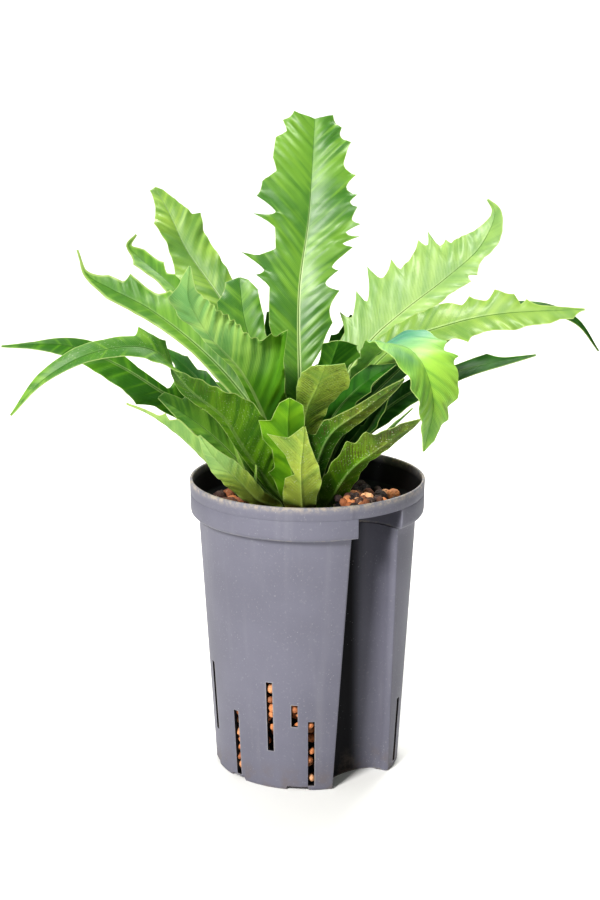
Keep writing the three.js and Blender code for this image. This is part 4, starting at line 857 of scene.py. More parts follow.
def blade_columns(half):
    """Distances from the midrib for every row: close together on the rib, then even to the edge."""
    fine = np.array(RIB_COLUMNS)[None, :] * np.minimum(1, half / RIB_FULL_HALF)[:, None]
    share = np.linspace(0, 1, OUTER_COLUMNS + 1)[1:]
    outer = fine[:, -1:] + (half[:, None] - fine[:, -1:]) * share[None, :]
    return np.hstack([fine, outer])


def blade_relief(spec, place, across, half, seed):
    """How far the leaf's middle lies off the plain blade: pleats and ruffles along the veins and a
    little unrest near the edge, all fading out at the stalk and the midrib, over a low arch."""
    draws = [6 * draw for draw in seeded_draws(seed + 40, 6)]
    out = np.abs(across)
    left = across < 0
    share = np.clip(out / half, 0, 1)
    vein = place - (VEIN_RUN - VEIN_LEAN) * out

    def wave(at, length, start):
        return np.sin(2 * np.pi * at / length + start)

    body = np.clip((half - RELIEF_STARTS) / RELIEF_GROWS, 0, 1) * np.clip(out / RELIEF_CLEAR_OF_RIB, 0, 1)
    beat = np.sin(vein / PLEAT_BEAT_LENGTH + draws[0] + 1.3 * left)
    pleat = wave(vein + 0.6 * PLEAT_LENGTH * beat, PLEAT_LENGTH, draws[1] + 2.4 * left)
    fade = 0.55 + 0.45 * np.sin(vein / PLEAT_FADE_LENGTH + draws[5] + 2 * share)
    pleat *= fade * np.clip(1.4 * share, 0, 1)
    unrest = 2 * np.sin(vein / FINE_UNREST_LENGTH + draws[2])
    fine = wave(vein, FINE_LENGTH, unrest) * (0.5 + 0.5 * beat)
    edge = wave(place, EDGE_LENGTH, draws[3] + 1.7 * left) * share**4
    swell = wave(place, SWELL_LENGTH, draws[4] + 2.2 * left) * share**2
    unrest = 1.5 * np.sin(vein / RUFFLE_UNREST_LENGTH + draws[3])
    ruffle = wave(vein, RUFFLE_LENGTH, unrest) * share**1.5
    relief = PLEAT_HEIGHT * spec.get("pleat", 0.55) * pleat * (1 - share**6) + FINE_HEIGHT * fine
    relief += EDGE_HEIGHT * edge + SWELL_HEIGHT * swell + spec.get("ruffle", 0.15) * ruffle
    arch = ARCH_HEIGHT * (share - share**2) * 4 * np.clip(half / ARCH_FULL_HALF, 0, 1)
    return body * relief + arch


def frond(name, spec, seed):
    """The blade: out along veins from each place on the midrib, both halves folded up from it, with
    the relief and the rib's own swelling, as an upper and an under skin joined round the edge. Three
    layers hold the grain as (along the vein, from the rib, from the edge), which side a point is on, and
    its share of the length."""
    rib = Rib(spec)
    edges = blade_edges(rib, spec)
    place = blade_rows(rib, edges, bpy.context.scene.fern_fronds.row_step / MM)
    halves = [half_widths(edge, place) for edge in edges]
    outs = [blade_columns(half) for half in halves]
    across = np.hstack([-outs[0][:, :0:-1], outs[1]])
    count = across.shape[1]
    half = np.where(np.arange(count) < outs[0].shape[1] - 1, halves[0][:, None], halves[1][:, None])
    rows = np.repeat(place[:, None], count, 1)
    out = np.abs(across)
    fold = math.radians(spec["fold"])
    wave = spec.get("wave", NO_WAVE)
    turn = 2 * np.pi * rows / wave["length"] + wave["start"] + LEFT_WAVE_LEAD * (across < 0)
    lift = wave["height"] * (out / WAVE_FULL_WIDTH) ** 1.5 * np.sin(turn)
    lift += blade_relief(spec, rows, across, half, seed)
    point, side, up = rib.frame(rows + out * VEIN_LEAN)
    centre = point + side * (across * math.cos(fold))[..., None]
    centre += up * (out * math.sin(fold) + lift)[..., None]
    stout = np.interp(rows / rib.length, RIB_SHARES, RIB_STOUTNESS)
    ridge = np.exp(-((out / (RIDGE_WIDTH * stout + 0.2)) ** 2))
    groove = np.exp(-((out / (GROOVE_WIDTH * stout + 0.1)) ** 2))
    skin = SKIN_EDGE + SKIN_GAIN * np.clip(1 - out / half, 0, 1)
    above = skin + stout * (RIDGE_HEIGHT * ridge - GROOVE_DEPTH * groove)
    below = skin + stout * RIDGE_UNDER * ridge
    skins = (centre + up * above[..., None], centre - up * below[..., None])
    points = np.vstack([skin.reshape(-1, 3) for skin in skins])
    under = len(place) * count
    top = grid_faces(len(place), count)
    index = np.arange(under).reshape(len(place), count)
    rims = []
    for line in (index[:, 0][::-1], index[:, -1], index[0], index[-1][::-1]):
        rims.append(np.stack([line[:-1], line[:-1] + under, line[1:] + under, line[1:]], -1))
    vein = rows - (VEIN_RUN - VEIN_LEAN) * out
    grain = np.stack([vein, out, half - out], -1).reshape(-1, 3)
    layers = {
        "grain": np.vstack([grain, grain]),
        "under": np.repeat([0, 1], rows.size),
        "share": np.tile(rows.ravel() / rib.length, 2),
    }
    return mesh_object(f"leaf_{name}", points, [top, top[:, ::-1] + under, *rims], 50, layers)


def leaf_side(s, near, far, patches, changeover, depth):
    """One side's colour: from the near to the far tint along the blade, dark and fresh patches and
    bands along the veins."""
    broad, bands, cloud, lines = patches
    plain = s.mix(changeover, near, far)
    deep = s.mix(changeover, scaled(near, *DEEP_SHARES), scaled(far, *DEEP_SHARES))
    fresh = s.mix(changeover, scaled(near, *FRESH_SHARES), scaled(far, *FRESH_SHARES))
    base = s.mix(1.0 - broad.band(0.62, 0.36) * depth, deep, plain)
    base = s.mix(bands.band(0.52, 0.66) * (0.7 * depth), base, fresh)
    base = s.mix(bands.band(0.5, 0.36) * (0.75 * depth), base, deep)
    base = s.mix(cloud.band(0.5, 0.8) * 0.3, base, fresh)
    return s.mix(lines**2.0 * 0.22, base, fresh)


def leaf_material(name, spec, palette, seed):
    """A glossy fern leaf: fine veins, a pale rib with its dark line, a thin pale edge, mottling, dust
    specks and brown spore lines on the under side, over a little light let through."""
    s = Shader(name)
    vein, out, margin = s.parts(s.layer("grain").out("Vector"))
    under = s.layer("under").out("Fac")
    share = s.layer("share").out("Fac")
    place = s.place()
    broad = s.noise(place, 30.0, 2.0)
    cloud = s.noise(place, 95.0, 4.0, 0.6)
    warp = s.noise(place, 200.0, 2.0)
    lines = ((vein * (2 * math.pi / VEIN_PITCH) + warp * 5.0).reckon("SINE") + 1.0) * 0.5
    along_veins = {"X": vein * 0.17, "Y": out * 0.02, "Z": seed * 1.7}
    bands = s.noise(s.add("CombineXYZ", {}, along_veins), 1.0, 2.0)
    patches = (broad, bands, cloud, lines)
    turn = spec.get("turn", 0.61)
    changeover = (share + (broad - 0.5) * 0.3).band(turn - TURN_BLUR, turn + TURN_BLUR)
    tints = [palette[spec[side]] for side in ("upper", "under")]
    ends = [palette[spec["ends"]]] * 2 if "ends" in spec else tints
    depth = spec.get("depth", 1.0)
    sides = [leaf_side(s, near, far, patches, changeover, depth) for near, far in zip(tints, ends)]
    base = s.mix(under, *sides)
    # Painted shade (dusk): the blade darkens towards its foot, where the crowded fronds shade it
    base = s.mix(share.band(0.5, 0.12) * spec.get("dusk", 0.85), base, palette["dusk"])
    if "spores" in spec:
        spores = spec["spores"]
        sori = (vein * (2 * math.pi / SPORE_PITCH) + warp * 2.0).reckon("SINE").band(0.1, 0.7)
        belt = out.band(*SPORES_FROM_RIB) * margin.band(*SPORES_FROM_EDGE) * share.band(0.3, 0.5)
        patch = s.noise(place, 60.0, 2.0).band(0.3, 0.52)
        rust = s.noise(place, 520.0, 3.0, 0.7).band(0.5, 0.62)
        base = s.mix(sori * belt * patch * under * spores, base, palette["spore"])
        rusty = rust * patch * share.band(0.25, 0.5) * under * (0.75 * spores)
        base = s.mix(rusty, base, palette["spore"])
    if "speckle" in spec:
        dots = s.cells(place, 700.0).band(0.3, 0.16) * s.noise(place, 150.0).band(0.4, 0.56)
        base = s.mix(dots * (0.75 * spec["speckle"]), base, palette["speck"])
    stout = 1.0 - share * 0.72
    ridge = (out / stout).band(*PALE_RIB) * share.band(0.9, 0.5)
    line = (out / stout).band(*DARK_LINE) * (1.0 - under * 0.7)
    base = s.mix(ridge * spec.get("rib_tone", 0.35), base, palette["rib"])
    base = s.mix(line * 0.85, base, palette["groove"])
    hem = spec.get("hem", 0.5)
    base = s.mix(margin.band(hem, hem * 0.4) * 0.6, base, palette["margin"])
    base = s.mix(share.band(0.06, 0.02) * 0.8, base, palette["stalk"])
    gloss = spec.get("gloss", 0.3)
    height = lines * 0.4 + cloud * 0.5 + s.noise(place, 900.0, 2.0) * 0.2
    skin = s.surface(
        Base_Color=base,
        Roughness=0.42 - 0.14 * gloss + cloud * 0.12 + under * 0.12,
        Specular_IOR_Level=0.24,
        Coat_Weight=(1.0 - under) * (0.1 + 0.6 * gloss),
        Coat_Roughness=0.36,
        Normal=s.bump(height, *LEAF_BUMP),
    )
    through = s.add("BsdfTranslucent", {}, {"Color": scaled(tints[0], *GLOW_SHARES)})
    let_through = LET_THROUGH - LET_THROUGH_SPREAD * seeded_draws(seed + 90, 1)[0]
    return s.close(s.add("MixShader", {}, {0: let_through, 1: skin, 2: through}))


def channel_line(z, margin=0.0, band=False):
    """One level of the gauge channel as (along, across) from its left edge to its right: a half
    ellipse at the back, then on each side a rounded corner out to the pot's wall."""
    if band:
        half, mouth = BAND_NOTCH_HALF + margin, CHANNEL_MOUTHS[1]
        fillet = BAND_NOTCH_FILLET
        face = math.sqrt(RIM_RADIUS**2 - (half + fillet) ** 2)
        t = np.radians(np.linspace(0, 88, 7))
        straight = mouth + (face - fillet - mouth) * np.array([0.35, 0.7])
        corner_along = np.concatenate([straight, face - fillet + fillet * np.sin(t)])
        corner_across = half + np.concatenate([[0, 0], fillet * (1 - np.cos(t))])
    else:
        share = (z - CHANNEL_SPAN[0]) / (CHANNEL_SPAN[1] - CHANNEL_SPAN[0])
        half = margin + CHANNEL_HALF_WIDTHS[0] + (CHANNEL_HALF_WIDTHS[1] - CHANNEL_HALF_WIDTHS[0]) * share
        mouth = CHANNEL_MOUTHS[0] + (CHANNEL_MOUTHS[1] - CHANNEL_MOUTHS[0]) * share
        t = np.radians(np.linspace(0, 80, 10)[1:])
        corner_along = mouth + CHANNEL_CORNER * np.sin(t)
        corner_across = half + CHANNEL_CORNER * (1 - np.cos(t))
    a = np.radians(np.linspace(0, 90, 16))
    along = np.concatenate([mouth - (mouth - CHANNEL_BACK + margin) * np.cos(a), corner_along])
    across = np.concatenate([half * np.sin(a), corner_across])
    mirrored = (np.concatenate([along[::-1], along[1:]]), np.concatenate([-across[::-1], across[1:]]))
    return np.stack(mirrored, -1)


def slot_list():
    """Azimuth and height span of every slot."""
    slots = [SLOT_SHORT]
    for k in range(SLOT_COUNT):
        slots.append((FIRST_SLOT + k * SLOT_PITCH, SLOT_HIGH if k % 2 else SLOT_LOW))
    return slots


def slot_half(low):
    """Half a slot's width as an angle round the pot, at its foot."""
    return math.degrees(SLOT_WIDTH / 2 / wall_radius(low))


def from_channel(azimuth):
    """An azimuth as an angle from the channel's middle, between 0 and 360."""
    return (np.asarray(azimuth, float) - CHANNEL_AZIMUTH) % 360


def pot_columns():
    """Angles from the channel's middle for the round part of the pot: even steps, with columns on
    and beside both edges of every slot and foot notch."""
    marks = []
    for azimuth, (low, _) in slot_list():
        for share in (-SLOT_RIM_SHARE, -1, 1, SLOT_RIM_SHARE):
            marks.append(from_channel(azimuth + share * slot_half(low)))
    for gap in PAD_GAPS:
        for edge in gap:
            marks.extend([from_channel(edge - PAD_FLANK), from_channel(edge + PAD_FLANK)])
    marks = np.array(marks)
    marks = marks[(marks > MARKED_PART[0]) & (marks < MARKED_PART[1])]
    even = np.arange(*ROUND_PART, COLUMN_STEP)
    far = np.abs(even[:, None] - marks[None, :]).min(axis=1) > LEAST_COLUMN_GAP
    return np.unique(np.round(np.concatenate([even[far], marks]), 4))


def wall_radius(z):
    return BASE_RADIUS + (WALL_RADIUS_UNDER_BAND - BASE_RADIUS) * z / BAND_BOTTOM


def pot_ring(z, radius, columns, margin=0.0, kind="wall"):
    """One ring of the pot: the channel's line clipped to the wall, then the round part. Above the
    channel's roof the line's points move out to the round wall."""
    line = channel_line(z, margin, band=kind != "wall")
    bearing = np.degrees(np.arctan2(line[:, 1], line[:, 0]))
    reach = np.linalg.norm(line, axis=1)
    reach = np.full_like(reach, radius) if kind == "round" else np.minimum(reach, radius)
    ease = np.linspace(0, 1, EASE_COLUMNS + 2)[1:-1]
    right = bearing[-1] + (columns[0] - bearing[-1]) * ease
    left = columns[-1] + (360 + bearing[0] - columns[-1]) * ease
    bearings = np.concatenate([bearing, right, columns, left])
    reaches = np.concatenate([reach, np.full(len(bearings) - len(reach), radius)])
    x, y = around(CHANNEL_AZIMUTH + bearings, reaches)
    return np.stack([x, y, np.full(len(x), float(z))], -1), bearings


def foot_lift(bearings):
    """How high the foot's edge stands: 0 on a pad, the notch height between pads."""
    lift = np.zeros(len(bearings))
    turned = bearings % 360
    for low, high in PAD_GAPS:
        start = from_channel(low)
        inside = np.clip(np.minimum(turned - start, start + high - low - turned) / PAD_FLANK, -1, 1)
        lift = np.maximum(lift, PAD_HEIGHT * (inside + 1) / 2)
    return lift


def pot_piece():
    """Rings from the middle of the underside out, up the outside, over the lip, down the inside and in
    over the floor. Slots are faces left out of both walls, with sides put in between. Two layers say
    where the plastic is worn and where it is painted dark as shade (shelter): channel, slot sides, inside."""
    columns = pot_columns()
    ends = np.array([z for _, span in slot_list() for z in span])
    even = np.arange(LEVEL_STEP, BAND_BOTTOM, LEVEL_STEP)
    levels = np.unique(np.concatenate([ends, ends - SLOT_RIM_HEIGHT, ends + SLOT_RIM_HEIGHT, even]))
    rings, marks, shelter = [], [], []

    def ring(z, radius, margin=0.0, kind="wall", scale=1.0, foot=0.0, worn=0.0, inner=0.0):
        points, bearings = pot_ring(z, radius, columns, margin, kind)
        # Painted shade (shelter): dark in the channel's depth, fading out to its right, and dark all over
        # the inside
        channel_shade = np.clip((radius - np.linalg.norm(points[:, :2], axis=1)) / PAINTED_SHADE_DEPTH, 0, 1)
        channel_shade *= np.interp((bearings + 180) % 360 - 180, PAINTED_SHADE_ANGLES, PAINTED_SHADE_SHARES)
        points[:, :2] *= scale
        points[:, 2] += foot * foot_lift(bearings)
        rings.append(points)
        marks.append(np.full(len(points), worn))
        shelter.append(np.maximum(PAINTED_SHADE_INSIDE * inner, channel_shade))

    foot_radius = BASE_RADIUS - FOOT_ROUNDING
    pad_scale = (BASE_RADIUS - PAD_DEPTH) / BASE_RADIUS
    for scale in (POLE_SCALE, 0.4, pad_scale - 0.01):
        ring(0, foot_radius, scale=scale)
    ring(0, foot_radius, scale=pad_scale, foot=1)
    ring(0, foot_radius, foot=1, worn=WEAR_FOOT)
    ring(FOOT_ROUNDING * 0.3, BASE_RADIUS - FOOT_ROUNDING * 0.3, foot=0.9, worn=WEAR_FOOT)
    ring(FOOT_ROUNDING, wall_radius(FOOT_ROUNDING), foot=0.6)
    outer_start = len(rings)
    for z in levels:
        ring(z, wall_radius(z))
    ring(BAND_BOTTOM - 0.4, wall_radius(BAND_BOTTOM) - 0.05)
    for up, back in BAND_PROFILE:
        ring(BAND_BOTTOM + up, RIM_RADIUS + back, kind="band", worn=WEAR_BAND if up < 1 else 0.0)
    for z, back, kind in BAND_UPPER:
        ring(z, RIM_RADIUS + back, kind=kind)
    for angle in np.radians(np.linspace(0, 180, LIP_STEPS)):
        reach = RIM_RADIUS - LIP_RADIUS + LIP_RADIUS * math.cos(angle)
        ring(POT_HEIGHT - LIP_RADIUS * (1 - math.sin(angle)), reach, kind="round", worn=WEAR_LIP)
    for z, back, margin, kind in RIM_INSIDE:
        ring(z, RIM_RADIUS - WALL + back, margin=margin, kind=kind, inner=1.0)
    ring(BAND_BOTTOM, wall_radius(BAND_BOTTOM) - WALL, margin=WALL, inner=1.0)
    inner_start = len(rings)
    for z in levels[::-1]:
        ring(z, wall_radius(z) - WALL, margin=WALL, inner=1.0)
    for scale in (1.0, 0.6, 0.3, POLE_SCALE):
        ring(FLOOR, wall_radius(FLOOR) - WALL, margin=WALL, scale=scale, inner=1.0)
    count = len(rings[0])
    points = np.vstack(rings)
    keep = np.ones((len(rings) - 1, count), bool)
    worn = np.concatenate(marks).reshape(len(rings), count)
    skip = len(channel_line(0)) + EASE_COLUMNS
    sides, edges = [], []
    total = len(points)

    def inner_of(level):
        return inner_start + len(levels) - 1 - level

    for azimuth, (low, high) in slot_list():
        turns = from_channel([azimuth - slot_half(low), azimuth + slot_half(low)])
        c0, c1 = (skip + int(np.argmin(np.abs(columns - turn))) for turn in turns)
        r0, r1 = (int(np.argmin(np.abs(levels - z))) for z in (low, high))
        keep[outer_start + r0 : outer_start + r1, c0:c1] = False
        keep[inner_of(r1) : inner_of(r0), c0:c1] = False
        worn[outer_start + r0 : outer_start + r1 + 1, [c0, c1]] = WEAR_SLOT
        worn[[outer_start + r0, outer_start + r1], c0 : c1 + 1] = WEAR_SLOT
        loop = [(r, c0) for r in range(r0, r1)] + [(r1, c) for c in range(c0, c1)]
        loop += [(r, c1) for r in range(r1, r0, -1)] + [(r0, c) for c in range(c1, c0, -1)]
        edges.append([(outer_start + r) * count + c for r, c in loop])
        edges.append([inner_of(r) * count + c for r, c in loop])
        outer = total + np.arange(len(loop))
        inner = outer + len(loop)
        total += 2 * len(loop)
        sides.append(np.stack([outer, inner, np.roll(inner, -1), np.roll(outer, -1)], -1))
    first = np.arange(count)
    slot_points = points[np.concatenate(edges)]
    points = np.vstack([points, slot_points, [[0, 0, 0], [0, 0, FLOOR]]])
    faces = grid_faces(len(rings), count, closed=True)[keep.ravel()]
    poles = [fan(total, first), fan(total + 1, (len(rings) - 1) * count + first, outwards=False)]
    # The slot sides and the middle of the inner floor take the full painted shade (shelter)
    layers = {
        "worn": np.concatenate([worn.ravel(), np.zeros(len(slot_points) + 2)]),
        "shelter": np.concatenate([*shelter, np.ones(len(slot_points)), [0, 1]]),
    }
    return mesh_object("culture_pot", points, [faces, *sides, *poles], 34, layers)


def pot_material(settings):
    """Grey moulded plastic, paler outside where dust lies on it, and painted near black as shade inside,
    on the slot sides and in the channel, fading out to its right: faint clouds, dust specks, tan scale on
    worn edges and along the rim, and a soiled foot."""
    s = Shader("pot_plastic")
    plain, dusty, clean, scale = (tuple(getattr(settings, key)) for key in settings.__annotations__)
    place = s.place()
    worn = s.layer("worn").out("Fac")
    shelter = s.layer("shelter").out("Fac")
    height = s.parts(place)[2]
    cloud = s.noise(place, 15.0, 4.0, 0.55)
    long_place = s.add("Mapping", {}, {"Vector": place, "Scale": (1.0, 1.0, 0.05)})
    streak = s.noise(long_place, 120.0, 3.0)
    grit = s.noise(place, 620.0, 3.0, 0.6)
    base = s.mix(cloud.band(0.35, 0.65) * 0.6, plain, scaled(plain, 0.82, 0.82, 0.82))
    base = s.mix(streak.band(0.5, 0.8) * 0.1, base, dusty)
    base = s.mix(grit.band(0.58, 0.75) * 0.22, base, dusty)
    # Painted shade (shelter): near black laid on the inside, the slot sides and the channel where shade
    # falls
    base = s.mix(shelter, base, clean)
    specks = s.cells(place, 420.0).band(0.16, 0.08) * s.noise(place, 60.0).band(0.5, 0.62)
    base = s.mix(specks * 0.5 * (1.0 - shelter * 0.6), base, dusty)
    near_rim = height.band(*LIME_HEIGHTS) * s.noise(place, 240.0, 4.0, 0.7).band(0.42, 0.62)
    base = s.mix(near_rim * (1.0 - shelter) * 0.65, base, scale)
    base = s.mix(worn * 0.35, base, dusty)
    crust = worn * s.noise(place, 330.0, 4.0, 0.65).band(0.46, 0.66)
    base = s.mix(crust * 0.6, base, scale)
    soil = height.band(*SOIL_HEIGHTS) * s.noise(place, 90.0, 4.0, 0.6).band(0.4, 0.65)
    base = s.mix(soil * 0.45, base, SOIL)
    rough = 0.42 + cloud * 0.14 + grit * 0.12 + shelter * 0.25
    normal = s.bump(grit * 0.5 + cloud * 0.8 + crust * 0.8, *POT_BUMP)
    return s.close(s.surface(Base_Color=base, Roughness=rough, Specular_IOR_Level=0.28, Normal=normal))


def ball():
    """A ball of 80 faces: an icosahedron whose every face is split in four."""
    g = (1 + 5**0.5) / 2
    corners = [(s, t * g, 0) for s in (-1, 1) for t in (-1, 1)]
    points = np.array([p for c in corners for p in (c, c[1:] + c[:1], c[2:] + c[:2])], float)
    points /= np.linalg.norm(points[0])
    gaps = np.linalg.norm(points[:, None] - points[None], axis=-1)
    near = (gaps < 1.2) & (gaps > 0.1)
    faces = []
    for a, b, c in itertools.combinations(range(len(points)), 3):
        if near[a, b] and near[b, c] and near[a, c]:
            outwards = np.cross(points[b] - points[a], points[c] - points[a]) @ points[a] > 0
            faces.append((a, b, c) if outwards else (a, c, b))
    points = list(points)
    middles = {}

    def middle(a, b):
        key = (min(a, b), max(a, b))
        if key not in middles:
            p = points[a] + points[b]
            points.append(p / np.linalg.norm(p))
            middles[key] = len(points) - 1
        return middles[key]

    split = []
    for a, b, c in faces:
        ab, bc, ca = middle(a, b), middle(b, c), middle(c, a)
        split += [(a, ab, ca), (ab, b, bc), (ca, bc, c), (ab, bc, ca)]
    return np.array(points), np.array(split)


def in_channel_axes(x, y):
    """Places on the ground plan as how far they lie out along the channel's middle, and beside it."""
    ux, uy = around(CHANNEL_AZIMUTH, 1)
    return x * ux + y * uy, np.abs(x * -uy + y * ux), (ux, uy)


def granule_places(rng):
    """Centres and sizes: two layers of a golden spiral under the rim, and granules that lean on the
    wall behind every slot. None stands in the channel or in the crown."""
    spots = []
    for count, level, low, high in FILL_LAYERS:
        k = np.arange(count)
        size = rng.uniform(low, high, count)
        reach = FILL_REACH * np.sqrt((k + 0.5) / count) + rng.uniform(*REACH_UNREST, count)
        reach = np.minimum(reach, GRANULE_WALL - size)
        x, y = around(k * GOLDEN_TURN + rng.uniform(*TURN_UNREST, count), reach)
        z = level - size * SINK_SHARE + rng.uniform(*LEVEL_UNREST, count)
        spots.append(np.stack([x, y, z, size], -1))
    for azimuth, (low, high) in slot_list():
        z = np.arange(low - SLOT_OVERRUN[0], high + SLOT_OVERRUN[1], SLOT_GRANULE_STEP)
        count = len(z)
        for turn, gap in SLOT_GRANULES:
            size = rng.uniform(*SLOT_GRANULE_SIZES, count)
            set_back = (rng.uniform(0, 1, count) < SET_BACK_SHARE) & (turn == 0)
            reach = wall_radius(z) - WALL - gap - size * LEAN_SHARE - SET_BACK * set_back
            x, y = around(azimuth + turn + rng.uniform(*SLOT_TURN_UNREST, count), reach)
            heights = z + rng.uniform(*SLOT_LEVEL_UNREST, count)
            heights = np.clip(heights, FLOOR + size + FLOOR_GAP, HIGHEST_BEHIND_SLOT)
            spots.append(np.stack([x, y, heights, size], -1))
    spots = np.vstack(spots)
    x, y, _, size = spots.T
    cx, cy = CROWN_CENTRE
    clear = np.hypot(x - cx, y - cy) > CROWN_RADIUS + size * CLEAR_OF_CROWN
    along, across, _ = in_channel_axes(x, y)
    side = np.clip(across / (CHANNEL_HALF_WIDTHS[0] + WALL + size), 0, 1)
    line = CHANNEL_MOUTHS[0] - (CHANNEL_MOUTHS[0] - CHANNEL_BACK + WALL) * np.sqrt(1 - side**2)
    clear &= (side >= 1) | (along < line - size - CLEAR_OF_CHANNEL)
    size = rng.uniform(*ROOF_GRANULE_SIZES, ROOF_GRANULES)
    turn = CHANNEL_AZIMUTH + rng.uniform(*ROOF_SPREAD, ROOF_GRANULES)
    x, y = around(turn, rng.uniform(*ROOF_REACH, ROOF_GRANULES))
    z = CHANNEL_ROOF + WALL + size * rng.uniform(*ROOF_LIFT, ROOF_GRANULES)
    return np.vstack([spots[clear], np.stack([x, y, z, size], -1)])


def filling_bed():
    """The plain bed under the granules: a stepped turned form, cut back along the channel."""
    bearing = np.linspace(0, 360, BED_SIDES, endpoint=False)
    back, bulge, half = BED_CHANNEL
    rings = []
    for reach, z in BED_PROFILE:
        x, y = around(bearing, reach)
        along, across, (ux, uy) = in_channel_axes(x, y)
        side = np.clip(across / half, 0, 1)
        over = np.maximum(along - (back + bulge * side**2), 0) * (side < 1)
        rings.append(np.stack([x - over * ux, y - over * uy, np.full(BED_SIDES, float(z))], -1))
    return np.vstack([*rings, [[0, 0, BED_BOTTOM], [0, 0, BED_TOP]]])


def granules_piece(rng):
    """Every granule is one ball, squashed, turned and dented by three sine waves over its surface.
    Under them lies the plain dark bed."""
    unit, faces = ball()
    spots = granule_places(rng)
    count = len(spots)
    turned = np.linalg.qr(rng.normal(size=(count, 3, 3)))[0]
    turned *= np.sign(np.linalg.det(turned))[:, None, None]
    dents = np.zeros((len(unit), count))
    for _ in range(DENT_WAVES):
        wave = unit @ rng.normal(0, DENT_FINENESS, (3, count))
        dents += DENT_DEPTH * np.sin(wave + rng.uniform(*DENT_STARTS, count))
    squash = rng.uniform(*SQUASH, (count, 3))
    shaped = (unit[None] * squash[:, None]) @ turned
    shaped = shaped * (1 + dents.T[..., None]) * spots[:, None, 3:] + spots[:, None, :3]
    index = faces[None] + (np.arange(count) * len(unit))[:, None, None]
    tones = rng.uniform(0, 1, count)
    # Painted light: the granules behind the slots take only the paler tones, for the light they catch
    # there
    tones = np.where(spots[:, 2] < HIGHEST_BEHIND_SLOT, PAINTED_LIGHT_TONE_FROM + (1 - PAINTED_LIGHT_TONE_FROM) * tones, tones)
    bed = filling_bed()
    start = count * len(unit)
    quads = grid_faces(len(BED_PROFILE), BED_SIDES, start, closed=True)
    pole = start + len(bed) - 2
    ring = start + np.arange(BED_SIDES)
    poles = [fan(pole, ring), fan(pole + 1, ring + (len(BED_PROFILE) - 1) * BED_SIDES, outwards=False)]
    points = np.vstack([shaped.reshape(-1, 3), bed])
    tone = np.concatenate([np.repeat(tones, len(unit)), np.zeros(len(bed))])
    return mesh_object("clay_granules", points, [index.reshape(-1, 3), quads, *poles], 60, {"tone": tone})


def clay_material():
    """Fired clay in its many tones, from near black to tan, with pits and pale dust."""
    s = Shader("fired_clay")
    place = s.place()
    base = s.ramp(s.layer("tone").out("Fac"), CLAY_TONES)
    cloud = s.noise(place, 170.0, 4.0, 0.6)
    base = s.mix(cloud.band(0.35, 0.7) * 0.45, base, CLAY_SHADE)
    dust = s.noise(place, 520.0, 3.0, 0.6).band(0.55, 0.75)
    base = s.mix(dust * 0.35, base, CLAY_DUST)
    normal = s.bump(cloud * 0.8 + s.cells(place, 900.0) * 0.5, *CLAY_BUMP)
    return s.close(s.surface(Base_Color=base, Roughness=0.8, Normal=normal))


def crown_piece(rng):
    """A low rough dome over a stock that narrows downwards: rings round the crown's middle, lifted
    by crossed sine waves, with narrow brown scales that stand up between the stalks."""
    columns, rows = CROWN_GRID
    bearing = np.linspace(0, 2 * np.pi, columns, endpoint=False)[None, :]
    share = np.linspace(0, 1, rows)[:, None]
    dome = np.clip(share / CROWN_SHOULDER, 0, 1)
    down = (share - CROWN_SHOULDER) / (1 - CROWN_SHOULDER)
    stock = share > CROWN_SHOULDER
    edge = CROWN_TOP - CROWN_DOME
    reach = CROWN_RADIUS * np.sin(np.clip(share * CROWN_FLARE, 0, 1) * np.pi / 2)
    reach = np.where(stock, CROWN_RADIUS * (1 - CROWN_TAPER * down**2), reach)
    z = np.where(stock, edge - (edge - CROWN_BOTTOM) * down, CROWN_TOP - CROWN_DOME * dome**3)
    waves = np.sin(5 * bearing + 9 * share) * np.sin(3 * bearing - 14 * share)
    lump = np.abs(waves + 0.5 * np.sin(17 * bearing + 31 * share)) * np.clip(share * 6, 0, 1)
    reach = np.maximum(reach - LUMP_REACH * lump, 0.05)
    cx, cy = CROWN_CENTRE
    points = [cx + reach * np.cos(bearing), cy + reach * np.sin(bearing), z - LUMP_HEIGHT * lump]
    points = np.stack(points, -1).reshape(-1, 3)
    faces = grid_faces(rows, columns, closed=True)[:, ::-1]
    ring = np.arange(columns)
    start = len(points)
    poles = [fan(start, ring, outwards=False), fan(start + 1, ring + (rows - 1) * columns)]
    points = np.vstack([points, [[cx, cy, CROWN_TOP], [cx, cy, CROWN_BOTTOM]]])
    count = CROWN_SCALES
    turn = rng.uniform(0, 2 * np.pi, count)
    far = CROWN_RADIUS * np.sqrt(rng.uniform(*SCALE_SPREAD, count))
    level = np.full(count, CROWN_TOP - SCALE_DEPTH)
    foot = np.stack([cx + far * np.cos(turn), cy + far * np.sin(turn), level], -1)
    lean = np.stack([np.cos(turn), np.sin(turn), rng.uniform(*SCALE_STEEPNESS, count)], -1)
    lean /= np.linalg.norm(lean, axis=1, keepdims=True)
    wide = np.stack([-np.sin(turn), np.cos(turn), np.zeros(count)], -1)
    top = foot + lean * rng.uniform(*SCALE_LENGTHS, count)[:, None]
    thick = np.cross(wide, lean) * SCALE_THICKNESS_SHARE
    half = rng.uniform(*SCALE_HALF_WIDTHS, count)[:, None] * wide
    corners = [foot - half + thick, foot + half + thick, foot - half - thick, foot + half - thick, top]
    first = (len(points) + np.arange(count) * len(corners))[:, None, None]
    scales = (np.array([[0, 1, 4], [3, 2, 4], [2, 0, 4], [1, 3, 4]]) + first).reshape(-1, 3)
    bases = (np.array([[0, 2, 3, 1]]) + first).reshape(-1, 4)
    points = np.vstack([points, np.stack(corners, 1).reshape(-1, 3)])
    return mesh_object("fern_crown", points, [faces, bases, *poles, scales], 45)


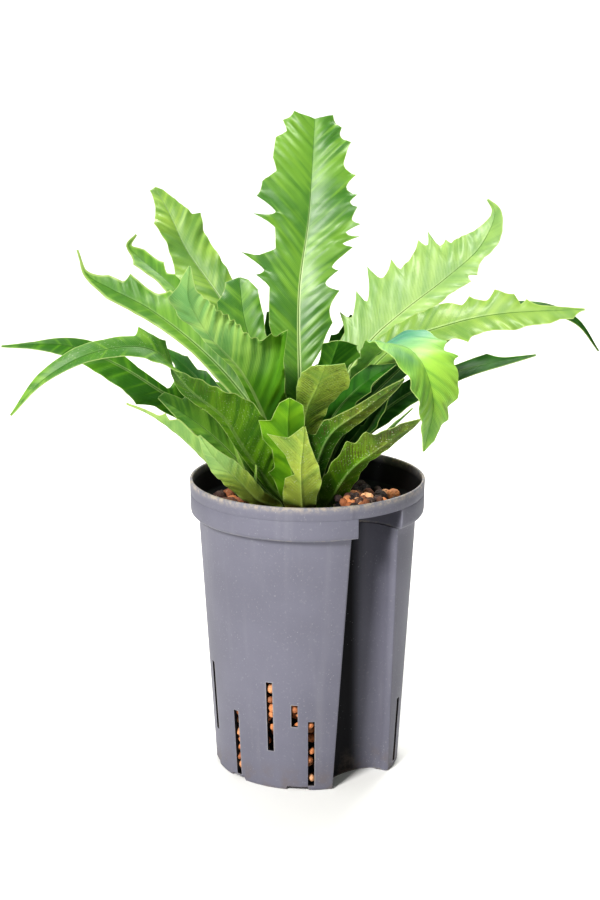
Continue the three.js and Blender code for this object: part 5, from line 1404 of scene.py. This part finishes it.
def crown_material():
    """Rough dark brown rhizome skin and scales."""
    s = Shader("crown_scales")
    cloud = s.noise(s.place(), 220.0, 4.0, 0.6)
    base = s.ramp(cloud, CROWN_TONES)
    return s.close(s.surface(Base_Color=base, Roughness=0.85, Normal=s.bump(cloud, *CROWN_BUMP)))


def studio_material(colour):
    """Matt pale paper with the faintest unevenness."""
    s = Shader("studio_paper")
    cloud = s.noise(s.place(), 3.0, 2.0)
    base = s.mix(cloud * 0.25, colour, scaled(colour, 0.97, 0.97, 0.97))
    return s.close(s.surface(Base_Color=base, Roughness=0.9))


def studio_paper():
    """A floor that runs back and curves up into a wall."""
    turn = np.linspace(0, math.pi / 2, 24)
    bent = PAPER_BACK + PAPER_BEND * np.sin(turn)
    y = np.concatenate([[PAPER_FRONT, 0.0], bent, [PAPER_BACK + PAPER_BEND]])
    z = np.concatenate([[0.0, 0.0], PAPER_BEND * (1 - np.cos(turn)), [PAPER_TOP]])
    x = np.broadcast_to([-PAPER_HALF, PAPER_HALF], (len(y), 2))
    points = np.stack([x, np.stack([y, y], 1), np.stack([z, z], 1)], -1).reshape(-1, 3)
    return mesh_object("studio_floor", points / MM, [grid_faces(len(y), 2)], 60)


def area_light(name, place, aim, size, power, colour):
    data = bpy.data.lights.new(name, "AREA")
    data.shape = "RECTANGLE"
    data.size, data.size_y = size
    data.energy = power
    data.color = colour
    lamp = linked(name, data)
    lamp.location = place
    heading = np.array(aim, float) - np.array(place, float)
    level = math.hypot(heading[0], heading[1])
    lamp.rotation_euler = (math.atan2(level, -heading[2]), 0, math.atan2(-heading[0], heading[1]))


def tint(name, description, colour):
    """A colour that can be changed in the panel."""
    return bpy.props.FloatVectorProperty(
        name=name, description=description, default=colour, size=3, subtype="COLOR", min=0, max=1
    )


class FernPotSettings(bpy.types.PropertyGroup):
    """Colours of the culture pot."""

    plastic: tint("Plastic", "Grey of the moulded plastic", (0.147, 0.146, 0.187))
    dust: tint("Dust", "Pale dust and flow streaks on the plastic", (0.36, 0.355, 0.37))
    # Painted shade: the near black colour laid where shade falls, inside, on the slot sides and in the
    # channel
    clean: tint("Clean plastic", "Sheltered plastic, inside and in the channel", (0.004, 0.004, 0.006))
    scale: tint("Lime scale", "Tan scale along the rim and worn edges", (0.42, 0.35, 0.26))


class FernFrondSettings(bpy.types.PropertyGroup):
    """Fineness of the blades and the greens of the fronds."""

    row_step: bpy.props.FloatProperty(
        name="Row step", description="Distance between the rows of points along a blade",
        default=0.0012, min=0.0006, max=0.005, unit="LENGTH", precision=4,
    )
    bright: tint("Bright", "Leaf in full light", (0.17, 0.355, 0.045))
    mid: tint("Mid", "Plain leaf green", (0.09, 0.25, 0.015))
    deep: tint("Deep", "Old dark leaf", (0.03, 0.14, 0.008))
    bluish: tint("Bluish", "Cool green of shaded upper sides", (0.13, 0.4, 0.1))
    pale: tint("Pale", "Young yellow-green leaf", (0.295, 0.47, 0.09))
    young: tint("Youngest", "Palest leaf in full light", (0.36, 0.55, 0.165))
    olive: tint("Olive", "Dull under side", (0.11, 0.25, 0.01))
    lime: tint("Lime", "Clear green under side", (0.17, 0.37, 0.012))
    cool: tint("Cool", "Coolest green, where the sky shows in the gloss", (0.09, 0.34, 0.2))
    # Painted light: a brighter copy of the leaf green that stands in for the light on a drooping tip
    vivid: tint("Vivid", "Strong green of a drooping tip", (0.36, 0.65, 0.09))
    straw: tint("Straw", "Yellowish under side in the light", (0.41, 0.52, 0.09))
    dusky: tint("Dusky", "Brownish green under side", (0.17, 0.24, 0.03))
    rib: tint("Rib", "Midribs and stalks", (0.55, 0.68, 0.3))


class FernStudioSettings(bpy.types.PropertyGroup):
    """Camera and light of the studio."""

    paper: tint("Paper", "Floor and backdrop", (0.86, 0.86, 0.86))
    lens: bpy.props.FloatProperty(
        name="Lens", description="Focal length for the photographed view", default=74.64, min=20,
        max=200, unit="CAMERA",
    )
    pitch: bpy.props.FloatProperty(
        name="Pitch", description="How far the camera looks down", default=math.radians(14.2),
        subtype="ANGLE",
    )
    camera_place: bpy.props.FloatVectorProperty(
        name="Camera place", description="Where the camera stands", default=(-0.0047, -1.150, 0.498),
        size=3, subtype="TRANSLATION", unit="LENGTH",
    )
    daylight: bpy.props.FloatProperty(
        name="Daylight", description="Strength of the light from all round", default=0.2, min=0, max=5
    )


class FernStep:
    """What every operator does: it builds its pieces in the scene and is done."""

    def execute(self, context):
        self.build(context.scene)
        return {"FINISHED"}


class FERN_OT_pot(FernStep, bpy.types.Operator):
    """Build the culture pot with its channel, slots and rim"""

    bl_idname = "fern.pot"
    bl_label = "Culture pot"

    def build(self, scene):
        finish_piece(pot_piece(), pot_material(scene.fern_pot), "pot")


class FERN_OT_granules(FernStep, bpy.types.Operator):
    """Fill the pot with fired clay granules"""

    bl_idname = "fern.granules"
    bl_label = "Clay granules"

    def build(self, scene):
        rng = np.random.default_rng(GRANULE_SEED)
        finish_piece(granules_piece(rng), clay_material(), "clay_pebbles")


class FERN_OT_crown(FernStep, bpy.types.Operator):
    """Set the scaly crown that the fronds grow from"""

    bl_idname = "fern.crown"
    bl_label = "Crown"

    def build(self, scene):
        rng = np.random.default_rng(CROWN_SEED)
        finish_piece(crown_piece(rng), crown_material(), "crown")


class FERN_OT_fronds(FernStep, bpy.types.Operator):
    """Grow every frond with its teeth, pleats, veins and midrib"""

    bl_idname = "fern.fronds"
    bl_label = "Fronds"

    def build(self, scene):
        settings = scene.fern_fronds
        tints = [key for key in settings.__annotations__ if key != "row_step"]
        palette = {key: tuple(getattr(settings, key)) for key in tints} | LEAF_MARKS
        for seed, (name, spec) in enumerate(FRONDS.items()):
            node = f"frond_{name}"
            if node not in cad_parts:
                raise RuntimeError(f"the packed model has no {node}")
            material = leaf_material(f"leaf_{name}", spec, palette, seed)
            finish_piece(frond(name, spec, seed), material, node)


class FERN_OT_studio(FernStep, bpy.types.Operator):
    """Set the paper floor, the soft lights and the camera"""

    bl_idname = "fern.studio"
    bl_label = "Studio"

    def build(self, scene):
        settings = scene.fern_studio
        floor = studio_paper()
        floor.data.materials.append(studio_material(tuple(settings.paper)))
        world = bpy.data.worlds.new("studio_air")
        world.use_nodes = True
        sky = world.node_tree.nodes["Background"]
        sky.inputs["Color"].default_value = AIR
        sky.inputs["Strength"].default_value = settings.daylight
        scene.world = world
        for name, light in LIGHTS.items():
            area_light(name, *light)
        scene.view_settings.view_transform = "Standard"
        scene.view_settings.look = "Medium High Contrast"
        data = bpy.data.cameras.new("photo_camera")
        data.sensor_width = SENSOR_WIDTH
        data.lens = settings.lens
        data.clip_start, data.clip_end = CLIP
        camera = linked("photo_camera", data)
        camera.location = settings.camera_place
        camera.rotation_euler = (math.pi / 2 - settings.pitch, 0, 0)
        scene.camera = camera


STEPS = (FERN_OT_pot, FERN_OT_granules, FERN_OT_crown, FERN_OT_fronds, FERN_OT_studio)
GROUPS = {
    "fern_pot": FernPotSettings,
    "fern_fronds": FernFrondSettings,
    "fern_studio": FernStudioSettings,
}


class FERN_PT_panel(bpy.types.Panel):
    """The fern's settings and steps in the sidebar"""

    bl_label = "Potted fern"
    bl_space_type = "VIEW_3D"
    bl_region_type = "UI"
    bl_category = "Fern"

    def draw(self, context):
        for name in GROUPS:
            group = getattr(context.scene, name)
            box = self.layout.box()
            for key in group.__annotations__:
                box.prop(group, key)
        for step in STEPS:
            self.layout.operator(step.bl_idname)


CLASSES = (*GROUPS.values(), *STEPS, FERN_PT_panel)


def register():
    for made in CLASSES:
        bpy.utils.register_class(made)
    for key, group in GROUPS.items():
        setattr(bpy.types.Scene, key, bpy.props.PointerProperty(type=group))


def unregister():
    for key in GROUPS:
        delattr(bpy.types.Scene, key)
    for made in reversed(CLASSES):
        bpy.utils.unregister_class(made)


def main():
    register()
    for step in STEPS:
        area, name = step.bl_idname.split(".")
        getattr(getattr(bpy.ops, area), name)()


if __name__ == "__main__":
    main()
